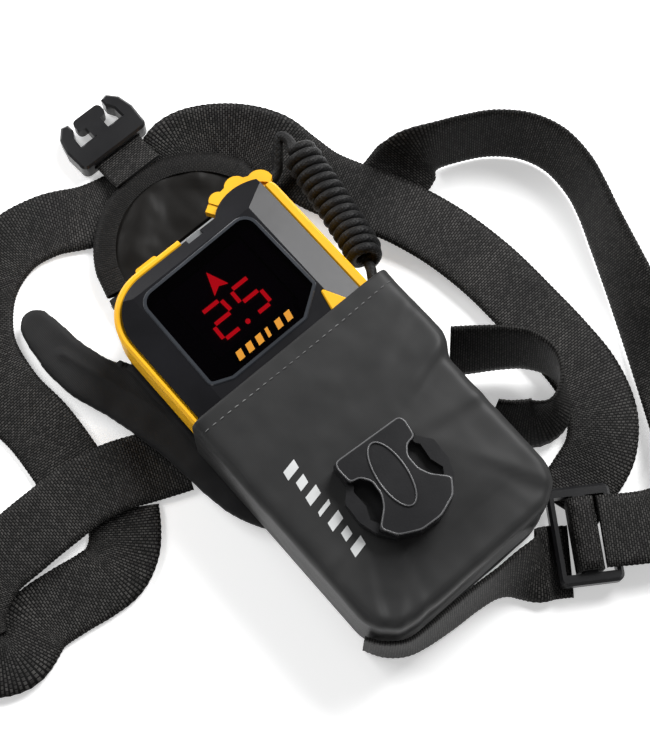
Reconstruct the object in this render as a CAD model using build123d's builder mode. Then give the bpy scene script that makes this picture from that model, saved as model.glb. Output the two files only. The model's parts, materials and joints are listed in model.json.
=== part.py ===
from build123d import *
import os
from math import atan2, cos, degrees, hypot, pi, radians, sin, tan

# Avalanche transceiver in the pouch of its chest harness. Millimetres.
# +X runs across the transceiver, +Y towards its top edge, +Z out of its face.
# The origin lies on the surface that the back panel rests on.

# ---------------------------------------------------------------- driving dimensions
HALF_WIDTH = 38.5           # transceiver with its bumper
TOP_Y = 61.4
BOTTOM_Y = -59.0
BACK_Z = 8.0                # back of the case
PARTING_Z = 21.6            # where the two case halves meet
FACE_Z = 36.2               # raised middle of the face
WALL = 2.0
BUMPER_LEFT, BUMPER_RIGHT, BUMPER_TOP, BUMPER_BOTTOM = 2.6, 4.0, 2.8, 3.0
BUMPER_Z = (16.0, 33.0)

PIVOT = (25.5, 48.5)        # mode lever's shaft
TURRET_R = 15.5             # round shoulder of the case under the lever
LEVER_R = 20.4
LEVER_Z = (25.6, 29.6)
LEVER_START, LEVER_END = 37.0, 126.0
LEVER_TRAVEL = 36.0
SHAFT_R = 2.0
RUNNING_GAP = 0.05

CELL_R, CELL_LENGTH, CELL_PITCH = 5.25, 44.5, 11.0
CELL_Y, CELL_Z = -41.0, 16.2
BOARD_Z = (22.6, 24.2)
LATCH_Y = -49.0

PANEL_THICKNESS = 6.0
FABRIC = 1.2
POUCH_MOUTH_Y = 6.2
POUCH_BOTTOM_Y = -90.4
POUCH_TOP_Z = 38.6
POUCH_LEFT, POUCH_RIGHT, POUCH_RIGHT_LOW = -40.4, 45.6, 40.6

HINGE_Y, HINGE_Z = 70.0, 7.2
FLAP_THICKNESS = 3.2
TAB_HINGE = (10.8, 102.7, 7.2)
WEBBING_WIDTH, WEBBING_THICKNESS = 25.0, 1.6

TETHER_STRAND = 3.8
TETHER_COIL = 14.0

os.makedirs("parts", exist_ok=True)


def finish(builder, label):
    """Label a finished piece and write it."""
    builder.part.label = label
    export_step(builder.part, f"parts/{label}.step")


# ---------------------------------------------------------------- transceiver outlines
CASE = (-HALF_WIDTH + BUMPER_LEFT, HALF_WIDTH - BUMPER_RIGHT,
        BOTTOM_Y + BUMPER_BOTTOM, TOP_Y - BUMPER_TOP)
OUTSIDE = (-HALF_WIDTH, HALF_WIDTH, BOTTOM_Y, TOP_Y)


def rounded_box(box, radii, inset=0.0):
    """Rectangle (left, right, bottom, top) with its own radius at each corner.

    The radii are top left, top right, bottom right and bottom left."""
    left, right, bottom, top = box
    left, right, bottom, top = left + inset, right - inset, bottom + inset, top - inset
    with BuildSketch() as outline:
        with BuildLine():
            FilletPolyline((left, top), (right, top), (right, bottom), (left, bottom),
                           radius=[r - inset for r in radii], close=True)
        make_face()
    return outline.sketch


def case_outline(inset=0.0):
    """Outline of the two case halves, with the round turret under the lever."""
    with BuildSketch() as outline:
        add(rounded_box(CASE, (17.0, 6.0, 12.0, 12.0), inset))
        with BuildSketch(mode=Mode.PRIVATE) as turret:
            with Locations(PIVOT):
                Circle(TURRET_R - inset)
            with Locations((CASE[1] - inset - 30, PIVOT[1] + 20)):
                Rectangle(60, 40, mode=Mode.INTERSECT)
        add(turret.sketch)
    return outline.sketch


def sector(radius, start, end, inner=0.0):
    """Pie slice about the lever's pivot."""
    reach = radius * 3
    with BuildSketch() as piece:
        with Locations(PIVOT):
            Circle(radius)
            if inner:
                Circle(inner, mode=Mode.SUBTRACT)
        with BuildLine():
            steps = [start + (end - start) * i / 6 for i in range(7)]
            rim = [(PIVOT[0] + reach * cos(radians(a)), PIVOT[1] + reach * sin(radians(a)))
                   for a in steps]
            Polyline(PIVOT, *rim, close=True)
        make_face(mode=Mode.INTERSECT)
    return piece.sketch


def lever_slot():
    """Space that the lever sweeps, cut out of the case and the bumper."""
    with BuildPart() as slot:
        with BuildSketch(Plane.XY.offset(LEVER_Z[0] - 0.4)):
            add(sector(LEVER_R + 0.9, LEVER_START - 8, LEVER_END + LEVER_TRAVEL + 9))
        extrude(amount=LEVER_Z[1] - LEVER_Z[0] + 0.8)
    return slot.part


def window_outline(grow=0.0):
    """Display window: round top corners and a cut-off lower right corner."""
    with BuildSketch() as outline:
        with BuildLine():
            Polyline((-25.2, 13.2), (-18.6, 10.4), (12.6, 10.6), (22.8, 17.6),
                     (22.2, 51.8), (-24.6, 50.8), close=True)
        make_face()
        top = outline.vertices().sort_by(Axis.Y)[-2:]
        fillet(top, 4.6)
        fillet(outline.vertices().sort_by(Axis.Y)[:4], 1.2)
        if grow:
            offset(amount=grow)
    return outline.sketch


# ---------------------------------------------------------------- transceiver case
SCREWS = [(-29.0, 40.0), (-29.0, -45.0), (27.5, -45.0), (4.0, 52.0)]
SIDE_SLOPE, TOP_SLOPE = 2.6, 0.444
PLATFORM = (-26.4, 24.6, 53.2)       # left, right and top edges of the raised face


def rear_housing():
    with BuildPart() as rear:
        with BuildSketch(Plane.XY.offset(BACK_Z)):
            add(case_outline())
        extrude(amount=PARTING_Z - BACK_Z)
        chamfer(rear.faces().sort_by(Axis.Z)[0].outer_wire().edges(), 1.6)
        with BuildSketch(Plane.XY.offset(BACK_Z + WALL)):
            add(case_outline(WALL))
        extrude(amount=PARTING_Z, mode=Mode.SUBTRACT)
        with BuildSketch(Plane.XY.offset(BACK_Z + WALL)):          # seat of the door
            with Locations((0, -22.4)):
                Rectangle(43.0, 63.4)
        extrude(amount=1.2)
        with BuildSketch(Plane.XY.offset(BACK_Z + WALL)):          # cell tray walls
            with Locations((0, -18.9)):
                Rectangle(37.0, 53.4)
        extrude(amount=9.6)
        with BuildSketch(Plane.XY.offset(BACK_Z)):                 # cell tray
            with Locations((0, -18.9)):
                Rectangle(34.2, 50.4)
        extrude(amount=20, mode=Mode.SUBTRACT)
        with BuildSketch(Plane.XY.offset(BACK_Z)):                 # recess for the door
            with Locations((0, -22.4)):
                RectangleRounded(40.6, 61.0, 2.0)
        extrude(amount=1.9, mode=Mode.SUBTRACT)
        with BuildSketch(Plane.XY.offset(BACK_Z)):                 # latch clearance
            with Locations((0, LATCH_Y)):
                RectangleRounded(7.4, 3.8, 0.8)
        extrude(amount=WALL + 1.6, mode=Mode.SUBTRACT)
        for place in SCREWS:
            with BuildSketch(Plane.XY.offset(BACK_Z + 1.0)):
                with Locations(place):
                    Circle(3.4)
            extrude(amount=PARTING_Z - BACK_Z - 1.0)
            with Locations(Plane.XY.offset(BACK_Z).location * Location((*place, 0))):
                CounterBoreHole(1.35, 2.7, 2.6, depth=30)
        with BuildSketch(Plane.XY.offset(BACK_Z + 1.0)):           # lever boss
            with Locations(PIVOT):
                Circle(4.4)
        extrude(amount=LEVER_Z[0] - 0.4 - BACK_Z - 1.0)
        with BuildSketch(Plane.XY.offset(18.0)):
            with Locations(PIVOT):
                Circle(SHAFT_R)
        extrude(amount=12, mode=Mode.SUBTRACT)
        with Locations((CASE[1], -16.0, 17.4)):                    # lanyard eye
            Box(9.0, 8.0, 5.0, mode=Mode.SUBTRACT)
        with BuildSketch(Plane.XY.offset(PARTING_Z - 0.8)):        # groove for the seal
            add(case_outline(0.7))
            add(case_outline(1.4), mode=Mode.SUBTRACT)
        extrude(amount=0.8, mode=Mode.SUBTRACT)
    finish(rear, "rear_housing")


def face_slopes():
    """Wedges cut away so that the face falls off to the left, right and top."""
    left, right, top = PLATFORM
    with BuildPart() as wedges:
        with BuildSketch(Plane.XZ.offset(90)):
            with BuildLine():
                Polyline((left, FACE_Z), (CASE[0] - 1, FACE_Z - SIDE_SLOPE * 1.1),
                         (CASE[0] - 1, FACE_Z + 2), (left, FACE_Z + 2), close=True)
            make_face()
            with BuildLine():
                Polyline((right, FACE_Z), (CASE[1] + 1, FACE_Z - SIDE_SLOPE * 1.1),
                         (CASE[1] + 1, FACE_Z + 2), (right, FACE_Z + 2), close=True)
            make_face()
        extrude(amount=-180)
        with BuildSketch(Plane.YZ.offset(-50)):
            with BuildLine():
                Polyline((top, FACE_Z), (top + 14, FACE_Z - 14 * TOP_SLOPE),
                         (top + 14, FACE_Z + 2), (top, FACE_Z + 2), close=True)
            make_face()
        extrude(amount=100)
    return wedges.part


def front_housing():
    with BuildPart() as front:
        with BuildSketch(Plane.XY.offset(PARTING_Z)):
            add(case_outline())
        extrude(amount=FACE_Z - PARTING_Z)
        add(face_slopes(), mode=Mode.SUBTRACT)
        with BuildSketch(Plane.XY.offset(PARTING_Z)):
            add(case_outline(WALL))
        extrude(amount=30.6 - PARTING_Z, mode=Mode.SUBTRACT)
        with BuildSketch(Plane.XY.offset(PARTING_Z)):
            with Locations((-1, 0)):
                RectangleRounded(46, 98, 3)
        extrude(amount=34.0 - PARTING_Z, mode=Mode.SUBTRACT)
        for place in SCREWS:
            with BuildSketch(Plane.XY.offset(PARTING_Z)):
                with Locations(place):
                    Circle(3.4)
            extrude(amount=31.0 - PARTING_Z)
            with BuildSketch(Plane.XY.offset(PARTING_Z)):
                with Locations(place):
                    Circle(1.1)
            extrude(amount=7, mode=Mode.SUBTRACT)
        add(lever_slot(), mode=Mode.SUBTRACT)
        with BuildSketch(Plane.XY.offset(LEVER_Z[1])):             # upper shaft seat
            with Locations(PIVOT):
                Circle(SHAFT_R)
        extrude(amount=2.6, mode=Mode.SUBTRACT)
        with BuildSketch(Plane.XY.offset(FACE_Z - 1.3)):           # recess for the window
            add(window_outline(1.3))
        extrude(amount=3, mode=Mode.SUBTRACT)
        with BuildSketch(Plane.XY.offset(PARTING_Z)):              # light well
            with Locations((-1.0, 33.0)):
                Rectangle(34, 30)
        extrude(amount=20, mode=Mode.SUBTRACT)
        add(option_button_shape(0.25, 30.0, 12.0), mode=Mode.SUBTRACT)
        with Locations((4.2, CASE[3], 32.4)):                      # light pipe notch
            Box(6.4, 3.2, 7.0, mode=Mode.SUBTRACT)
        with BuildSketch(Plane.XZ.offset(-CASE[2] + 4)):           # speaker slots
            with GridLocations(5.0, 1.0, 5, 1):
                with Locations((0, 27.5)):
                    SlotOverall(4.0, 1.2, rotation=90)
        extrude(amount=8, both=True, mode=Mode.SUBTRACT)
    finish(front, "front_housing")


def bumper_rim():
    with BuildPart() as rim:
        with BuildSketch(Plane.XY.offset(BUMPER_Z[0])):
            add(rounded_box(OUTSIDE, (19.0, 7.0, 14.0, 14.0)))
            add(case_outline(), mode=Mode.SUBTRACT)
        extrude(amount=BUMPER_Z[1] - BUMPER_Z[0])
        outer = rim.edges().filter_by(Plane.XY).group_by(Axis.Z)
        longest = [e for group in (outer[0], outer[-1]) for e in group
                   if abs(e.center().X) > CASE[1] + 0.5 or e.center().Y > CASE[3] + 0.5
                   or e.center().Y < CASE[2] - 0.5]
        chamfer([e for e in longest if e.length > 20], 0.9)
        with BuildSketch(Plane.XY.offset(BUMPER_Z[0])):            # thumb ridge on the top
            with Locations((-14.4, TOP_Y)):
                SlotOverall(9.0, 2.2)
            add(case_outline(), mode=Mode.SUBTRACT)
        extrude(amount=BUMPER_Z[1] - BUMPER_Z[0] - 1.2)
        with Locations((29.2, 68.0, 25.0)):                        # open under the lever
            Box(60.0, 21.6, 60.0, mode=Mode.SUBTRACT)
        add(lever_slot(), mode=Mode.SUBTRACT)
        with Locations((CASE[1] + 2, -16.0, 17.4)):                # way in to the eye
            Box(9.0, 8.0, 5.0, mode=Mode.SUBTRACT)
        with BuildSketch(Plane.XZ.offset(-BOTTOM_Y + 4)):          # speaker slots
            with GridLocations(5.0, 1.0, 5, 1):
                with Locations((0, 27.5)):
                    SlotOverall(4.0, 1.2, rotation=90)
        extrude(amount=8, both=True, mode=Mode.SUBTRACT)
    finish(rim, "bumper_rim")


def case_seal():
    with BuildPart() as seal:
        with BuildSketch(Plane.XY.offset(PARTING_Z - 0.8)):
            add(case_outline(0.7))
            add(case_outline(1.4), mode=Mode.SUBTRACT)
        extrude(amount=0.8)
    finish(seal, "case_seal")


def case_screws():
    with BuildPart() as screws:
        for place in SCREWS:
            with BuildSketch(Plane.XY.offset(BACK_Z + 1.2)):
                with Locations(place):
                    Circle(2.4)
                    RegularPolygon(1.1, 6, mode=Mode.SUBTRACT)
            extrude(amount=1.4)
            with BuildSketch(Plane.XY.offset(BACK_Z + 2.6)):
                with Locations(place):
                    Circle(1.05)
            extrude(amount=17.0)
    finish(screws, "case_screws")


# ---------------------------------------------------------------- display
def display():
    with BuildPart() as bezel:
        with BuildSketch(Plane.XY.offset(FACE_Z - 1.3)):
            add(window_outline(1.3))
            add(window_outline(), mode=Mode.SUBTRACT)
        extrude(amount=1.75)
        chamfer(bezel.faces().sort_by(Axis.Z)[-1].outer_wire().edges(), 0.35)
    finish(bezel, "window_bezel")

    with BuildPart() as window:
        with BuildSketch(Plane.XY.offset(FACE_Z - 1.3)):
            add(window_outline())
        extrude(amount=1.4)
    finish(window, "display_window")

    with BuildPart() as module:
        with Locations((-1.0, 33.0, 29.1)):
            Box(33.0, 29.0, 9.8)
        chamfer(module.edges().filter_by(Axis.Z), 0.8)
    finish(module, "display_module")


DIGIT_TOP, DIGIT_MIDDLE, DIGIT_BOTTOM = 34.6, 28.7, 22.4
SEGMENTS = [                                  # ends of each lit bar, "2" then "5"
    ((-12.0, DIGIT_TOP), (-4.1, DIGIT_TOP)), ((-3.9, DIGIT_TOP), (-3.6, DIGIT_MIDDLE)),
    ((-11.6, DIGIT_MIDDLE), (-3.8, DIGIT_MIDDLE)),
    ((-11.8, DIGIT_MIDDLE), (-12.1, DIGIT_BOTTOM)),
    ((-12.0, DIGIT_BOTTOM), (-5.0, DIGIT_BOTTOM)),
    ((0.9, DIGIT_TOP), (8.6, DIGIT_TOP)), ((0.7, DIGIT_TOP), (0.5, DIGIT_MIDDLE)),
    ((0.8, DIGIT_MIDDLE), (8.4, DIGIT_MIDDLE)), ((8.7, DIGIT_MIDDLE), (8.5, DIGIT_BOTTOM)),
    ((2.2, DIGIT_BOTTOM), (8.3, DIGIT_BOTTOM)),
]


def led_segments():
    """Seven-segment digits, point and direction arrow, lit under the window."""
    with BuildPart() as leds:
        for (x0, y0), (x1, y1) in SEGMENTS:
            middle = ((x0 + x1) / 2, (y0 + y1) / 2)
            turn = degrees(atan2(y1 - y0, x1 - x0))
            with BuildSketch(Plane.XY.offset(34.0)):
                with Locations(middle):
                    Rectangle(hypot(x1 - x0, y1 - y0) - 1.5, 1.3, rotation=turn)
            extrude(amount=0.6)
        with BuildSketch(Plane.XY.offset(34.0)):
            with Locations((-1.9, 22.4)):
                Circle(0.85)
            with BuildLine():
                Polyline((-1.3, 45.0), (1.8, 37.3), (-1.1, 38.6), (-4.5, 36.7), close=True)
            make_face()
        extrude(amount=0.6)
    finish(leds, "led_segments")


# ---------------------------------------------------------------- controls
def lever_rim():
    """Outer edge of the lever: a foot and three thumb bumps between shallow notches."""
    def at(radius, angle):
        a = radians(angle)
        return (PIVOT[0] + radius * cos(a), PIVOT[1] + radius * sin(a))

    valley = LEVER_R - 1.9
    with BuildSketch() as plate:
        with BuildLine():
            angle = LEVER_START
            Line(PIVOT, at(valley, angle))
            for span, notch in ((26.0, 6.0), (24.0, 6.0), (20.0, 0.0)):
                ThreePointArc(at(valley, angle), at(LEVER_R, angle + span / 2),
                              at(valley, angle + span))
                angle += span
                if notch:
                    Line(at(valley, angle), at(valley, angle + notch))
                    angle += notch
            Line(at(valley, angle), at(valley + 0.4, LEVER_END))
            Line(at(valley + 0.4, LEVER_END), PIVOT)
        make_face()
    return plate.sketch


def mode_lever():
    with BuildPart() as lever:
        with BuildSketch(Plane.XY.offset(LEVER_Z[0])):
            add(lever_rim())
            with Locations(PIVOT):
                Circle(5.0)
        extrude(amount=LEVER_Z[1] - LEVER_Z[0])
        with BuildSketch(Plane.XY.offset(LEVER_Z[1] - 1.2)):       # step inside the grip
            add(sector(15.9, LEVER_START - 2, LEVER_END + 2, 5.0))
        extrude(amount=5, mode=Mode.SUBTRACT)
        with BuildSketch(Plane.XY.offset(LEVER_Z[0])):
            with Locations(PIVOT):
                Circle(SHAFT_R + RUNNING_GAP)
        extrude(amount=20, mode=Mode.SUBTRACT)
        with BuildSketch(Plane.XY.offset(LEVER_Z[0] - 1)):         # seat of the lock tab
            with Locations(LOCK_PLACE):
                Rectangle(*LOCK_SEAT, rotation=LOCK_ANGLE)
        extrude(amount=20, mode=Mode.SUBTRACT)
    finish(lever, "mode_lever")


LOCK_ANGLE = 121.0
LOCK_MIDDLE_R = 15.6
LOCK_PLACE = (PIVOT[0] + (LOCK_MIDDLE_R + 0.35) * cos(radians(LOCK_ANGLE)),
              PIVOT[1] + (LOCK_MIDDLE_R + 0.35) * sin(radians(LOCK_ANGLE)))
LOCK_SEAT = (9.4, 3.6)


def lever_lock_tab():
    """Sliding tab in the lever's end that frees it from its stop."""
    with BuildPart() as tab:
        place = (PIVOT[0] + (LOCK_MIDDLE_R + 0.55) * cos(radians(LOCK_ANGLE)),
                 PIVOT[1] + (LOCK_MIDDLE_R + 0.55) * sin(radians(LOCK_ANGLE)))
        with BuildSketch(Plane.XY.offset(LEVER_Z[0] + 0.1)):
            with Locations(place):
                Rectangle(7.0, 3.2, rotation=LOCK_ANGLE)
        extrude(amount=3.4)
    finish(tab, "lever_lock_tab")


def lever_shaft():
    with BuildPart() as shaft:
        with BuildSketch(Plane.XY.offset(18.0)):
            with Locations(PIVOT):
                Circle(SHAFT_R)
        extrude(amount=13.6)
        chamfer(shaft.edges().sort_by(Axis.Z)[-1], 0.4)
    finish(shaft, "lever_shaft")


def option_button_shape(grow, bottom, height):
    with BuildPart() as shape:
        with BuildSketch(Plane.XY.offset(bottom)):
            with BuildLine():
                Polyline((23.4, 15.2), (30.6, 1.4), (20.4, 1.4), close=True)
            make_face()
            fillet(vertices(), 0.7)
            if grow:
                offset(amount=grow)
        extrude(amount=height)
    return shape.part


def option_button():
    with BuildPart() as button:
        add(option_button_shape(0.0, 31.0, 5.9))
        chamfer(button.faces().sort_by(Axis.Z)[-1].edges(), 0.4)
        with BuildSketch(Plane.XY.offset(26.8)):
            with Locations((24.6, 5.6)):
                Circle(1.5)
        extrude(amount=4.2)
    finish(button, "option_button")


def dome_switch():
    with BuildPart() as switch:
        with Locations((24.6, 5.6, 24.9)):
            Box(6.0, 6.0, 1.4)
        with BuildSketch(Plane.XY.offset(25.6)):
            with Locations((24.6, 5.6)):
                Circle(1.4)
        extrude(amount=0.3)
    finish(switch, "dome_switch")


def status_light_pipe():
    with BuildPart() as pipe:
        with Locations((4.2, CASE[3] - 0.1, 31.6)):
            Box(6.0, 2.6, 3.2)
        chamfer(pipe.faces().sort_by(Axis.Y)[-1].edges(), 0.6)
    finish(pipe, "status_light_pipe")


def detent_spring():
    """Leaf beside the lever's hub that clicks into its three positions."""
    with BuildPart() as leaf:
        with Locations((19.5, 44.0, 25.0)):
            Box(0.4, 6.0, 1.6)
        with Locations((18.8, 41.4, 25.0)):
            Box(1.8, 0.8, 1.6)
    finish(leaf, "detent_spring")


# ---------------------------------------------------------------- electronics
def main_board():
    with BuildPart() as board:
        with BuildSketch(Plane.XY.offset(BOARD_Z[0])):
            with BuildLine():
                Polyline((-31, -50), (30, -50), (30, 30), (11, 30), (11, 46), (-20, 46),
                         (-31, 36), close=True)
            make_face()
            with Locations(*SCREWS[:3]):
                Circle(3.8, mode=Mode.SUBTRACT)
        extrude(amount=BOARD_Z[1] - BOARD_Z[0])
    finish(board, "main_board")

    with BuildPart() as chips:
        for x, y, long, wide, tall in ((-6, -10, 10, 10, 1.2), (-10, 6, 7, 5, 1.0),
                                       (6, 4, 6, 6, 1.4), (-18, -34, 5, 8, 2.0),
                                       (-8, -32, 4, 4, 2.6), (24, 22, 4, 8, 2.2)):
            with Locations((x, y, BOARD_Z[1] + tall / 2)):
                Box(long, wide, tall)
    finish(chips, "board_chips")


def antenna(label, centre, axis, length, winding):
    """Ferrite rod with a copper winding over its middle."""
    plane = Plane(centre, z_dir=axis)
    with BuildPart() as core:
        with BuildSketch(plane.offset(-length / 2)):
            Circle(2.0)
        extrude(amount=length)
    finish(core, f"{label}_core")
    with BuildPart() as coil:
        with BuildSketch(plane.offset(-winding / 2)):
            Circle(2.9)
            Circle(2.0, mode=Mode.SUBTRACT)
        extrude(amount=winding)
    finish(coil, f"{label}_coil")


def antenna_z():
    with BuildPart() as coil:
        with BuildSketch(Plane.XY.offset(BOARD_Z[1])):
            with Locations((16.0, -34.0)):
                Circle(6.5)
                Circle(3.5, mode=Mode.SUBTRACT)
        extrude(amount=5.0)
    finish(coil, "antenna_z_coil")


def speaker():
    with BuildPart() as cone:
        with BuildSketch(Plane.XY.offset(BOARD_Z[1])):
            with Locations((15.0, -17.0)):
                Circle(9.0)
        extrude(amount=4.6)
        with BuildSketch(Plane.XY.offset(BOARD_Z[1] + 4.6)):
            with Locations((15.0, -17.0)):
                Circle(6.5)
        extrude(amount=-1.6, taper=40, mode=Mode.SUBTRACT)
    finish(cone, "speaker")


# ---------------------------------------------------------------- battery tray
CELL_X = (-CELL_PITCH, 0.0, CELL_PITCH)


def battery_cells():
    with BuildPart() as cells:
        for x in CELL_X:
            with BuildSketch(Plane((x, CELL_Y, CELL_Z), z_dir=(0, 1, 0))):
                Circle(CELL_R)
            extrude(amount=CELL_LENGTH - 1.0)
            with BuildSketch(Plane((x, CELL_Y + CELL_LENGTH - 1.0, CELL_Z), z_dir=(0, 1, 0))):
                Circle(2.7)
            extrude(amount=1.0)
    finish(cells, "battery_cells")


def battery_contacts():
    with BuildPart() as plates:
        for x in CELL_X:
            with Locations((x, CELL_Y + CELL_LENGTH + 0.5, CELL_Z)):
                Box(8.0, 0.4, 8.0)
            with Locations((x, CELL_Y - 2.8, CELL_Z)):
                Box(8.0, 0.3, 8.0)
    finish(plates, "battery_contacts")


def battery_springs():
    """Conical contact springs, one behind each cell."""
    with BuildPart() as springs:
        for x in CELL_X:
            for turn, radius in enumerate((3.4, 2.9, 2.4, 1.9)):
                plane = Plane((x, CELL_Y - 2.3 + 0.6 * turn, CELL_Z), z_dir=(0, 1, 0))
                with BuildSketch(plane.offset(-0.35)):
                    Circle(radius)
                    Circle(radius - 0.7, mode=Mode.SUBTRACT)
                extrude(amount=0.62)
    finish(springs, "battery_springs")


def battery_door():
    with BuildPart() as door:
        with BuildSketch(Plane.XY.offset(BACK_Z + 0.1)):
            with Locations((0, -22.4)):
                RectangleRounded(40.2, 60.6, 1.8)
        extrude(amount=1.3)
        chamfer(door.faces().sort_by(Axis.Z)[0].edges(), 0.4)
        for y in (-2, 0, 2):                                       # grip ribs
            with Locations((0, -8 + 3 * y, BACK_Z + 0.1)):
                Box(16.0, 1.2, 0.6, mode=Mode.SUBTRACT)
        with BuildSketch(Plane.XY.offset(BACK_Z)):
            with Locations((0, LATCH_Y)):
                Circle(3.3)
        extrude(amount=1.0, mode=Mode.SUBTRACT)
        with BuildSketch(Plane.XY.offset(BACK_Z)):
            with Locations((0, LATCH_Y)):
                Circle(1.7 + RUNNING_GAP)
        extrude(amount=4, mode=Mode.SUBTRACT)
    finish(door, "battery_door")

    with BuildPart() as seal:
        with BuildSketch(Plane.XY.offset(BACK_Z + 1.4)):
            with Locations((0, -22.4)):
                RectangleRounded(39.6, 60.0, 1.8)
                RectangleRounded(37.4, 57.8, 1.2, mode=Mode.SUBTRACT)
        extrude(amount=0.5)
    finish(seal, "battery_door_seal")


def battery_latch():
    """Quarter-turn screw that holds the battery door."""
    with BuildPart() as latch:
        with BuildSketch(Plane.XY.offset(BACK_Z + 0.1)):
            with Locations((0, LATCH_Y)):
                Circle(3.2)
        extrude(amount=0.85)
        with Locations((0, LATCH_Y, BACK_Z + 0.1)):
            Box(5.0, 1.0, 0.9, mode=Mode.SUBTRACT)
        with BuildSketch(Plane.XY.offset(BACK_Z + 0.9)):
            with Locations((0, LATCH_Y)):
                Circle(1.7)
        extrude(amount=3.0)
        with Locations((0, LATCH_Y, BACK_Z + 4.2)):
            Box(3.0, 5.8, 1.0)
    finish(latch, "battery_latch")


def lanyard_pin():
    with BuildPart() as pin:
        with BuildSketch(Plane.XY.offset(14.9)):
            with Locations((CASE[1] - 1.2, -16.0)):
                Circle(1.0)
        extrude(amount=5.0)
    finish(pin, "lanyard_pin")


# ---------------------------------------------------------------- harness pouch
def pouch_outline(inset=0.0, mouth=0.0):
    """Plan of the pouch: wider beside the mouth on the right, where the tether goes in."""
    left, right, low = POUCH_LEFT + inset, POUCH_RIGHT - inset, POUCH_RIGHT_LOW - inset
    bottom = POUCH_BOTTOM_Y + inset
    with BuildSketch() as outline:
        with BuildLine():
            Polyline((left, POUCH_MOUTH_Y + mouth), (left, bottom), (low, bottom),
                     (low, -34.0), (right, -22.0), (right, POUCH_MOUTH_Y + mouth), close=True)
        make_face()
        fillet(outline.vertices().group_by(Axis.Y)[0], 14.0 - inset)
        fillet(outline.vertices().filter_by_position(Axis.Y, -35, -20), 6.0)
    return outline.sketch


def pouch_shell():
    with BuildPart() as pouch:
        with BuildSketch(Plane.XY.offset(PANEL_THICKNESS)):
            add(pouch_outline())
        extrude(amount=POUCH_TOP_Z - PANEL_THICKNESS)
        rim = pouch.faces().sort_by(Axis.Z)[-1].edges()
        fillet([e for e in rim if e.center().Y < POUCH_MOUTH_Y - 0.1], 4.6)
        with BuildPart(mode=Mode.PRIVATE) as hollow:
            with BuildSketch(Plane.XY.offset(PANEL_THICKNESS + FABRIC)):
                add(pouch_outline(FABRIC, 5.0))
            extrude(amount=POUCH_TOP_Z - PANEL_THICKNESS - 2 * FABRIC)
            top = hollow.faces().sort_by(Axis.Z)[-1].edges()
            fillet([e for e in top if e.center().Y < POUCH_MOUTH_Y], 3.4)
        add(hollow.part, mode=Mode.SUBTRACT)
    finish(pouch, "pouch_shell")


def back_panel():
    with BuildPart() as panel:
        with BuildSketch():
            with BuildLine():
                Polyline((-29.0, 69.6), (-30.5, 58.0), (-38.0, 46.0), (-38.0, -91.0),
                         (38.0, -91.0), (41.0, 69.6), close=True)
            make_face()
            fillet(vertices().sort_by(Axis.Y)[:2], 13.0)
        extrude(amount=PANEL_THICKNESS)
    finish(panel, "back_panel")


SOCKET_PLANE = Plane((-1.5, -37.0, POUCH_TOP_Z), x_dir=(0.997, -0.0755, 0), z_dir=(0, 0, 1))
SOCKET_RIM = [(13.7, 0), (13.7, -7.5), (15.2, -9.2), (17.8, -12.2), (17.8, -20.0),
              (15.8, -25.6), (11.0, -31.0), (4.0, -34.0)]
SOCKET_TOP = [(12.4, 0), (13.7, -2.0), (13.0, -8.4), (9.6, -8.8), (7.2, -12.0),
              (7.4, -17.4), (9.4, -21.0), (14.6, -25.8), (11.0, -31.0), (4.0, -34.0)]
SOCKET_BAR = [(13.4, -10.8), (13.0, -16.8), (14.6, -21.2), (12.2, -25.4)]


def mirrored(points):
    """Closed loop of the given right-hand points and their left-hand twins."""
    return [*points, *[(-x, y) for x, y in reversed(points)]]


def buckle_socket():
    """Female half of the side-release buckle, sewn to the pouch's front."""
    with BuildPart() as socket:
        with BuildSketch(SOCKET_PLANE):                            # lower plate
            with BuildLine():
                Polyline(*mirrored(SOCKET_RIM), close=True)
            make_face()
            fillet(vertices(), 1.0)
        extrude(amount=1.6)
        with BuildSketch(SOCKET_PLANE.offset(1.6)):                # side bars and closed end
            with BuildLine():
                Polyline(*mirrored(SOCKET_RIM), close=True)
            make_face()
            fillet(vertices(), 1.0)
            with BuildLine():
                Polyline(*mirrored([(12.2, 0.1), (12.2, -9.4), *SOCKET_BAR]), close=True)
            make_face(mode=Mode.SUBTRACT)
        extrude(amount=3.4)
        for side in (-1, 1):                                       # cheeks of the entrance
            with BuildSketch(SOCKET_PLANE.offset(1.6)):
                with Locations((side * 12.95, -3.9)):
                    Rectangle(1.5, 7.0)
            extrude(amount=5.0)
        with BuildSketch(SOCKET_PLANE.offset(5.0)):                # closed end under the top
            with BuildLine():
                Polyline(*mirrored([(12.2, -25.4), (14.6, -25.8), (11.0, -31.0),
                                    (4.0, -34.0)]), close=True)
            make_face()
        extrude(amount=1.4)
        with BuildSketch(SOCKET_PLANE.offset(6.2)):                # top plate
            with BuildLine():
                Polyline(*mirrored(SOCKET_TOP), close=True)
            make_face()
            fillet(vertices(), 0.9)
        extrude(amount=2.0)
        chamfer(socket.faces().sort_by(Axis.Z)[-1].outer_wire().edges(), 0.5)
        with BuildSketch(SOCKET_PLANE.offset(8.2)):                # oval thumb ridge
            with Locations((-0.6, -14.0)):
                Ellipse(5.2, 12.2, rotation=-4)
                Ellipse(4.6, 11.6, rotation=-4, mode=Mode.SUBTRACT)
        extrude(amount=0.4)
    finish(socket, "buckle_socket")


# ---------------------------------------------------------------- flap and buckle tab
def flap_outline(inset=0.0):
    with BuildSketch() as outline:
        with BuildLine():
            right, left, base = 43.6 - inset, -28.6 + inset, HINGE_Y + 0.4
            Line((right, base), (right - 0.6, 80.0))
            ThreePointArc((right - 0.6, 80.0), (8.0, 102.6 - inset), (left + 2.6, 80.0))
            Line((left + 2.6, 80.0), (left, base))
            Line((left, base), (right, base))
        make_face()
    return outline.sketch


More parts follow.
